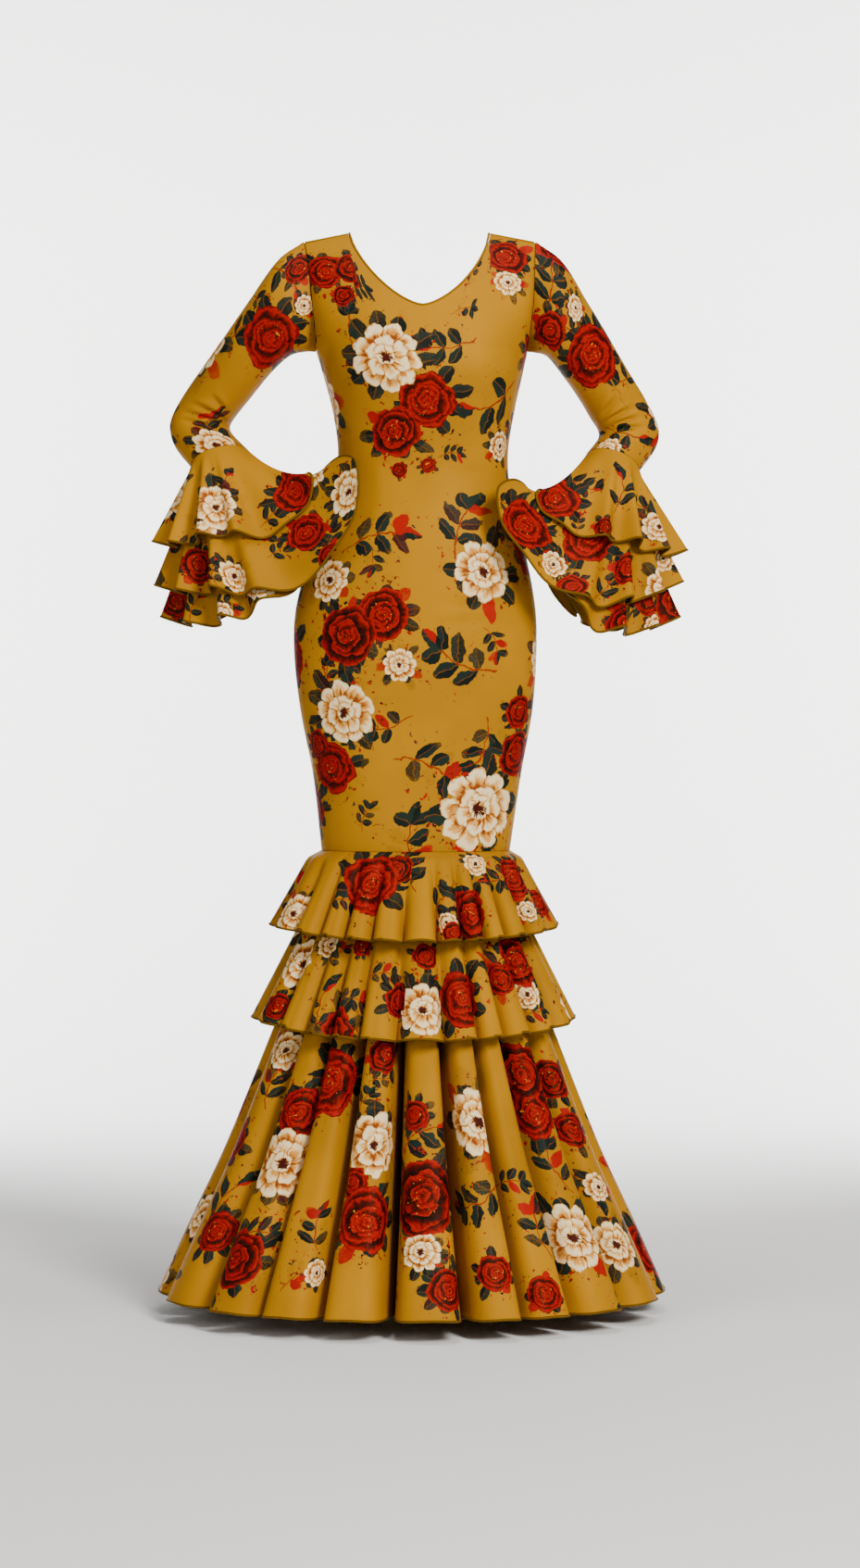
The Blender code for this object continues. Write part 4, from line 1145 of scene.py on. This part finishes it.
def new_node(tree, kind, values, **settings):
    """A shader node with its settings made, then its inputs fed by name or number."""
    node = tree.nodes.new("ShaderNode" + kind)
    for name, value in settings.items():
        setattr(node, name, value)
    for slot, value in values.items():
        feed(tree, node.inputs[slot], value)
    return node


def split(tree, vector):
    return [Term(tree, output) for output in new_node(tree, "SeparateXYZ", {0: vector}).outputs]


def choose(tree, share, start, end):
    """start where share is 0 and end where it is 1, for numbers."""
    node = new_node(tree, "Mix", {"Factor": share, "A": start, "B": end})
    return Term(tree, node.outputs["Result"])


def tint(tree, share, start, end):
    """The same for colours."""
    return new_node(tree, "Mix", {0: share, 6: start, 7: end}, data_type="RGBA").outputs[2]


def ramp(tree, place, stops):
    node = new_node(tree, "ValToRGB", {0: place})
    elements = node.color_ramp.elements
    while len(elements) < len(stops):
        elements.new(0.5)
    for element, (where, colour) in zip(elements, stops):
        element.position = where
        element.color = colour
    return node.outputs[0]


def noise(tree, vector, scale, detail, roughness, output="Fac"):
    values = {"Vector": vector, "Scale": scale, "Detail": detail, "Roughness": roughness}
    return Term(tree, new_node(tree, "TexNoise", values).outputs[output])


def dice(tree, value):
    """Three even numbers from 0 to 1 that depend on one value alone."""
    node = new_node(tree, "TexWhiteNoise", {"W": value}, noise_dimensions="1D")
    return split(tree, node.outputs["Color"])


def bump(tree, height, strength):
    values = {"Strength": strength, "Distance": GRAIN_DEPTH, "Height": height}
    return new_node(tree, "Bump", values).outputs[0]


def attribute(tree, name):
    return new_node(tree, "Attribute", {}, attribute_name=name).outputs["Vector"]


def object_place(tree):
    return new_node(tree, "TexCoord", {}).outputs["Object"]


def darkened(colour, share):
    return tuple(channel * share for channel in colour[:3]) + (1.0,)


def motif_place(tree, title, wobble, wobble_share):
    """Coordinates, seed and kind of the motif that holds this place of the cloth."""
    x, y, code = split(tree, attribute(tree, title))
    x = x + (wobble[0] - 0.5) * wobble_share
    y = y + (wobble[1] - 0.5) * wobble_share
    return x, y, code.math("FRACT"), code > 1.0


def polar(x, y):
    return (x * x + y * y).math("SQRT"), y.math("ARCTAN2", x)


def petals(x, y, seed, streak, rings, spacing, lobe_depth, crease_share, swirl):
    """Tone from each petal's rim (0) to its shaded base (1), and where the flower is."""
    tone = None
    there = None
    for ring_radius, count, turn, shift_x, shift_y in rings:
        dx = x - shift_x
        dy = y - shift_y
        radius = (dx * dx + dy * dy).math("SQRT")
        angle = dy.math("ARCTAN2", dx) + radius * swirl + seed * math.tau + turn
        lobe = (angle * (count / 2)).math("SINE").math("ABSOLUTE")
        edge = lobe.math("SQRT") * (ring_radius * lobe_depth) + ring_radius * (1 - lobe_depth)
        depth = (edge - radius) / spacing
        inside = depth > 0.0
        shade = depth.math("MINIMUM", 1.0) * (streak + 1.0) + (lobe * -1.0 + 1.0) ** 5.0 * crease_share
        if there is None:
            tone = shade
            there = inside
        else:
            tone = choose(x.tree, inside, tone, shade)
    return tone, there


def leaf_bulge(along, power):
    """Half width of a leaf as a share of its widest, from its foot (0) to its tip (1)."""
    return (along * (along * -1.0 + 1.0) * 4.0).math("MAXIMUM", 0.0) ** power


def sprig_of_leaves(tree, x, y, seed):
    """Pairs of leaves along a curved stem and one at its tip, in the same terms as a fan."""
    stem_y = y + x * x * STEM_CURVE
    side = stem_y.math("ABSOLUTE")
    slant = (x - side * PAIR_LEAN + PAIR_START) / PAIR_SPACING
    cell = slant.math("FLOOR")
    first, second, third = dice(tree, cell + (stem_y > 0.0) * 7.0 + seed * SEED_SPREAD)
    aside = (slant - cell - 0.5) * PAIR_ROOM
    beside = aside.math("ABSOLUTE")
    reach = first * PAIR_LENGTHS[1] + PAIR_LENGTHS[0]
    along = (side * 1.18 + aside * 0.5 - PAIR_FOOT) / reach
    there = beside < leaf_bulge(along, SPRIG_LEAF_POWER) * PAIR_HALF_WIDTH
    pairs = there * (cell > -0.5) * (cell < PAIR_COUNT - 0.5) * (second > PAIR_MISSING)
    tip_place = (x - TIP_START) / TIP_LENGTH
    tip = side < leaf_bulge(tip_place, SPRIG_LEAF_POWER) * TIP_HALF_WIDTH
    stem = (side < STEM_HALF_WIDTH) * (x > STEM_ENDS[0]) * (x < STEM_ENDS[1])
    vein = beside < SPRIG_VEIN
    return pairs.math("MAXIMUM", tip), choose(tree, tip, aside > 0.0, stem_y > 0.0), vein, third, stem


def fan_of_leaves(tree, radius, angle, seed, inner, outer, count, missing, plump):
    """Leaves round a centre: where they are, their lighter halves, veins and a number each."""
    turn = (angle / math.tau + seed) * count
    cell = turn.math("FLOOR")
    first, second, third = dice(tree, cell.math("FLOORED_MODULO", float(count)) + seed * SEED_SPREAD)
    off_axis = (turn - cell - 0.5 + (third - 0.5) * FAN_JITTER) * (math.tau / count)
    reach = first * (outer * FAN_LENGTHS[1]) + outer * FAN_LENGTHS[0]
    along = (radius * off_axis.math("COSINE") - inner) / (reach - inner)
    aside = radius * off_axis.math("SINE")
    beside = aside.math("ABSOLUTE")
    there = (beside < leaf_bulge(along, FAN_LEAF_POWER) * (outer * plump)) * (second > missing)
    vein = beside < outer * FAN_VEIN
    return there, aside > 0.0, vein, third


def cloth_grain(tree, cut, strength):
    """Fine crepe grain as bump, and a stitched line above the hem."""
    grain = noise(tree, cut, *GRAIN_NOISE)
    slub = noise(tree, cut, *SLUB_NOISE)
    from_line = (split(tree, cut)[2] - STITCH_ABOVE_HEM).math("ABSOLUTE")
    line = (from_line < STITCH_HALF_WIDTH) * -STITCH_DEPTH
    return bump(tree, grain + slub * SLUB_SHARE + line, strength)


def new_material(name):
    material = bpy.data.materials.new(name)
    material.use_nodes = True
    tree = material.node_tree
    shader = tree.nodes["Principled BSDF"]
    return material, tree, shader


def cloth_gloss(shader, roughness):
    shader.inputs["Roughness"].default_value = roughness
    shader.inputs["Specular IOR Level"].default_value = CLOTH_SPECULAR
    shader.inputs["Specular Tint"].default_value = SPECULAR_TINT


def leaf_colours(tree, colour, leaf, half, vein, number, buds):
    """Paints leaves over the colour: dark, with a lighter half and a warm vein, some of them red."""
    foliage = tint(tree, half * 0.55 + number * 0.35, LEAF_DARK, LEAF_LIGHT)
    foliage = tint(tree, vein * 0.6, foliage, LEAF_VEIN)
    foliage = tint(tree, number > buds, foliage, BUD)
    return tint(tree, leaf, colour, foliage)


def flowers(tree, title, colour, wobble, mottle):
    """Paints one layer of roses and peonies over the colour."""
    x, y, seed, kind = motif_place(tree, title, wobble, BLOOM_WOBBLE)
    radius, angle = polar(x, y)
    spokes = {0: x / radius * STREAK_SPOKES, 1: y / radius * STREAK_SPOKES,
              2: radius * STREAK_LENGTH + seed * 40.0}
    streak = noise(tree, new_node(tree, "CombineXYZ", spokes).outputs[0], *STREAK_NOISE) - 0.5
    tone, rose_there = petals(x, y, seed, streak * ROSE_STREAK, ROSE_RINGS, spacing=0.33,
                              lobe_depth=0.15, crease_share=0.42, swirl=1.1)
    rose = ramp(tree, tone + (seed - 0.5) * ROSE_TONES + (mottle - 0.5) * ROSE_MOTTLE, ROSE_RAMP)
    shine = (mottle + streak * 0.5 > GLINT_ABOVE) * (radius < GLINT_REACH)
    rose = tint(tree, shine * GLINT_SHARE, rose, GLINT)
    tone, peony_there = petals(x, y, seed, streak * PEONY_STREAK, PEONY_RINGS, spacing=0.40,
                               lobe_depth=0.27, crease_share=0.85, swirl=0.0)
    peony = ramp(tree, tone + (mottle - 0.5) * PEONY_MOTTLE, PEONY_RAMP)
    heart = radius + streak * HEART_STREAK < HEART_RADIUS
    peony = tint(tree, heart, peony, CENTRE)
    flower = tint(tree, kind, rose, peony)
    there = choose(tree, kind, rose_there, peony_there)
    return tint(tree, there, colour, flower)


def printed_material():
    """Mustard cloth with roses, peonies, leaves, buds and stems."""
    material, tree, shader = new_material("printed_cloth")
    place = object_place(tree)
    wobble = split(tree, noise(tree, place, *WOBBLE_NOISE, "Color"))[:2]
    mottle = noise(tree, place, *MOTTLE_NOISE)
    broad = noise(tree, place, *BROAD_NOISE)
    debris = noise(tree, place, *DEBRIS_NOISE)

    colour = tint(tree, (broad - 0.35) * 2.2, GROUND, darkened(GROUND, 0.72))

    x, y, seed, kind = motif_place(tree, "sprig", wobble, SPRIG_WOBBLE)
    fleck = (debris > SPRIG_FLECKS) * (x * x + y * y < SPRIG_FLECK_REACH)
    colour = tint(tree, fleck, colour, tint(tree, mottle > 0.5, LEAF_LIGHT, BUD))
    leaf, half, vein, number, stem = sprig_of_leaves(tree, x, y, seed)
    colour = tint(tree, stem, colour, STEM)
    colour = leaf_colours(tree, colour, leaf, half, vein, number, SPRIG_BUDS)

    x, y, seed, kind = motif_place(tree, "fan", wobble, FAN_WOBBLE)
    radius, angle = polar(x, y)
    fleck = (debris > FAN_FLECKS) * (radius < FAN_FLECK_REACH)
    colour = tint(tree, fleck, colour, tint(tree, mottle > 0.48, LEAF_DARK, BUD))
    leaf, half, vein, number = fan_of_leaves(tree, radius, angle, seed, inner=0.70, outer=1.68,
                                             count=10, missing=0.30, plump=0.150)
    colour = leaf_colours(tree, colour, leaf, half, vein, number, FAN_BUDS)

    colour = flowers(tree, "bloom_under", colour, wobble, mottle)
    colour = flowers(tree, "bloom_over", colour, wobble, mottle)

    feed(tree, shader.inputs["Base Color"], colour)
    feed(tree, shader.inputs["Normal"], cloth_grain(tree, attribute(tree, "cut"), PRINT_GRAIN))
    cloth_gloss(shader, PRINT_ROUGHNESS)
    return material


def plain_material(name, colour, roughness):
    """Plain cloth, slightly uneven in colour."""
    material, tree, shader = new_material(name)
    place = object_place(tree)
    broad = noise(tree, place, *PLAIN_NOISE)
    feed(tree, shader.inputs["Base Color"], tint(tree, broad, colour, darkened(colour, 0.78)))
    grain = noise(tree, place, *GRAIN_NOISE)
    feed(tree, shader.inputs["Normal"], bump(tree, grain, PLAIN_GRAIN))
    cloth_gloss(shader, roughness)
    return material


def make_sheet(order, name, grid, closed, materials, hem=True):
    sheet = Sheet(name, grid, closed)
    mesh = cloth_mesh(sheet, materials, motifs_of(sheet, order))
    piece = add_piece(name + "_sheet", mesh, [name])
    if hem:
        path = sheet.grid[-1]
        tube = tube_mesh(name + "_hem", path, HEM_RADIUS, materials[2])
        add_piece(name + "_hem", tube)
    return sheet


def make_binding(front, back, material):
    """Rolled binding round the neckline, just clear of the panels' top edges."""
    path = []
    ups = []
    for sheet, order in ((front, 1), (back, -1)):
        angles = np.linspace(-90, 90, PANEL_COLUMNS + 1)
        inside = np.abs(across(angles)) * SHOULDER_HALF <= NECK_HALF + EDGE_TOLERANCE
        edge = sheet.grid[0][inside]
        below = sheet.grid[1][inside]
        turn = np.gradient(edge, axis=0)
        up = unit(np.cross(turn, sheet.normals[0][inside]))
        up *= np.sign(np.sum(up * (edge - below), -1, keepdims=True))
        path.append(edge[::order])
        ups.append(up[::order])
    path = np.vstack(path)
    ups = np.vstack(ups)
    for smoothing in range(BINDING_PASSES):
        ups = unit(np.roll(ups, 1, axis=0) + ups * 2 + np.roll(ups, -1, axis=0))
    middle = path + ups * (BINDING_RADIUS + SEAM)
    mesh = tube_mesh("neck_binding_roll", middle, BINDING_RADIUS, material, ups)
    add_piece("neck_binding_roll", mesh, ["neck_binding"])


def make_tapes(front, back, material):
    """Seam allowances inside the side, shoulder and armhole seams."""
    x_axis, y_axis, z_axis = np.eye(3)
    for wearer_side, side, column in (("left", 1, -1), ("right", -1, 0)):
        rows = slice(YOKE_ROW_COUNT - 1, None, TAPE_ROW_STEP)
        side_seam = (front.grid[rows, column] + back.grid[rows, column]) / 2
        share = across(np.linspace(-90, 90, PANEL_COLUMNS + 1)) * side
        sewn = share * SHOULDER_HALF >= NECK_HALF - EDGE_TOLERANCE
        shoulder = (front.grid[0, sewn] + back.grid[0, sewn]) / 2
        armhole = armhole_points(np.linspace(0, 360, ARMHOLE_TAPE_POINTS), side)
        armhole[:, 0] -= side * ARMHOLE_SETBACK / 2
        outwards = armhole - armhole[:-1].mean(axis=0)
        outwards[:, 0] = 0
        for seam, path, across_tape, out in (("side_seam_", side_seam, y_axis, x_axis * side),
                                             ("shoulder_seam_", shoulder, y_axis, z_axis),
                                             ("armhole_seam_", armhole, x_axis, unit(outwards))):
            name = seam + wearer_side
            mesh = strip_mesh(name, path - out * TAPE_DEPTH, across_tape, out, material)
            add_piece(name, mesh)


def make_dress():
    printed = printed_material()
    reverse = plain_material("plain_reverse", REVERSE, REVERSE_ROUGHNESS)
    edging = plain_material("olive_edging", HEM_COLOUR, EDGE_ROUGHNESS)
    materials = (printed, reverse, edging)
    front = make_sheet(1, "bodice_front", panel_grid(-1), False,
                       materials, hem=False)
    back = make_sheet(2, "bodice_back", panel_grid(1), False, materials,
                      hem=False)
    make_binding(front, back, plain_material("gold_binding", BINDING_COLOUR, EDGE_ROUGHNESS))
    make_tapes(front, back, reverse)
    order = 3
    for wearer_side, side in (("left", 1), ("right", -1)):
        name = "sleeve_" + wearer_side
        make_sheet(order, name, sleeve_grid(wearer_side, side), True,
                   materials, hem=False)
        for layer, grid in cuff_grids(wearer_side, side):
            order += 1
            make_sheet(order, "cuff_" + wearer_side + "_" + layer, grid, True,
                       materials)
        order += 1
    for tier in TIERS:
        make_sheet(order, tier[0], tier_grid(*tier), True, materials)
        order += 1
    make_sheet(order, "skirt_flare", skirt_grid(), True, materials)


def add_stage():
    """Pale floor that sweeps up into a low pale wall behind the dress."""
    floor_z = -1.470
    reach = 2.4
    front_y = -2.8
    wall_y = 5.4
    bend = 2.0
    height = 2.0
    bend_steps = 12
    profile = [(front_y, floor_z)]
    for step in range(bend_steps + 1):
        turn = math.radians(90 * step / bend_steps)
        profile.append((wall_y - bend + bend * math.sin(turn), floor_z + bend - bend * math.cos(turn)))
    profile.append((wall_y, height))
    points = [(x, y, z) for y, z in profile for x in (-reach, reach)]
    faces = [(2 * i, 2 * i + 1, 2 * i + 3, 2 * i + 2) for i in range(len(profile) - 1)]
    material, tree, shader = new_material("pale_floor")
    broad = noise(tree, object_place(tree), *FLOOR_NOISE)
    colour = tint(tree, broad, (0.93, 0.92, 0.91, 1.0), (0.90, 0.90, 0.89, 1.0))
    feed(tree, shader.inputs["Base Color"], colour)
    shader.inputs["Roughness"].default_value = 0.9
    shader.inputs["Specular IOR Level"].default_value = 0.1
    mesh = new_mesh("studio_floor", points, faces, material)
    mesh.shade_smooth()
    floor = bpy.data.objects.new("studio_floor", mesh)
    bpy.context.scene.collection.objects.link(floor)


# Lights. Columns: name, place, what it points at, width, height, watts, colour
LIGHTS = [
    ("key", (2.2, -4.2, 1.9), (0.0, 0.0, -0.65), 1.2, 1.8, 330, (1.0, 0.97, 0.92)),
    ("fill", (-3.0, -4.2, 0.4), (0.0, 0.0, -0.75), 1.8, 2.2, 62, (1.0, 0.98, 0.96)),
    ("top", (0.2, -0.4, 2.4), (0.0, 0.0, -0.4), 1.2, 1.2, 40, (1.0, 1.0, 1.0)),
    ("wall_left", (-2.4, 2.6, 0.4), (-0.6, 5.4, -0.2), 1.4, 2.4, 330, (1.0, 1.0, 1.0)),
    ("wall_right", (2.4, 2.6, 0.4), (0.6, 5.4, -0.2), 1.4, 2.4, 330, (1.0, 1.0, 1.0)),
]
WORLD_STRENGTH = 0.20


def add_lights():
    for name, place, target, width, height, watts, colour in LIGHTS:
        data = bpy.data.lights.new(name, "AREA")
        data.shape = "RECTANGLE"
        data.size = width
        data.size_y = height
        data.energy = watts
        data.color = colour
        light = bpy.data.objects.new(name, data)
        light.location = place
        aim = Vector(target) - Vector(place)
        light.rotation_euler = aim.to_track_quat("-Z", "Y").to_euler()
        bpy.context.scene.collection.objects.link(light)
    world = bpy.data.worlds.new("studio")
    world.use_nodes = True
    sky = world.node_tree.nodes["Background"]
    sky.inputs["Color"].default_value = (1.0, 1.0, 1.0, 1.0)
    sky.inputs["Strength"].default_value = WORLD_STRENGTH
    bpy.context.scene.world = world


def add_camera():
    data = bpy.data.cameras.new("camera")
    data.lens = CAMERA_LENS
    data.sensor_width = CAMERA_SENSOR
    camera = bpy.data.objects.new("camera", data)
    camera.location = CAMERA_PLACE
    camera.rotation_euler = (math.radians(90 - CAMERA_PITCH), 0.0, 0.0)
    bpy.context.scene.collection.objects.link(camera)
    bpy.context.scene.camera = camera


make_dress()
add_stage()
add_lights()
add_camera()
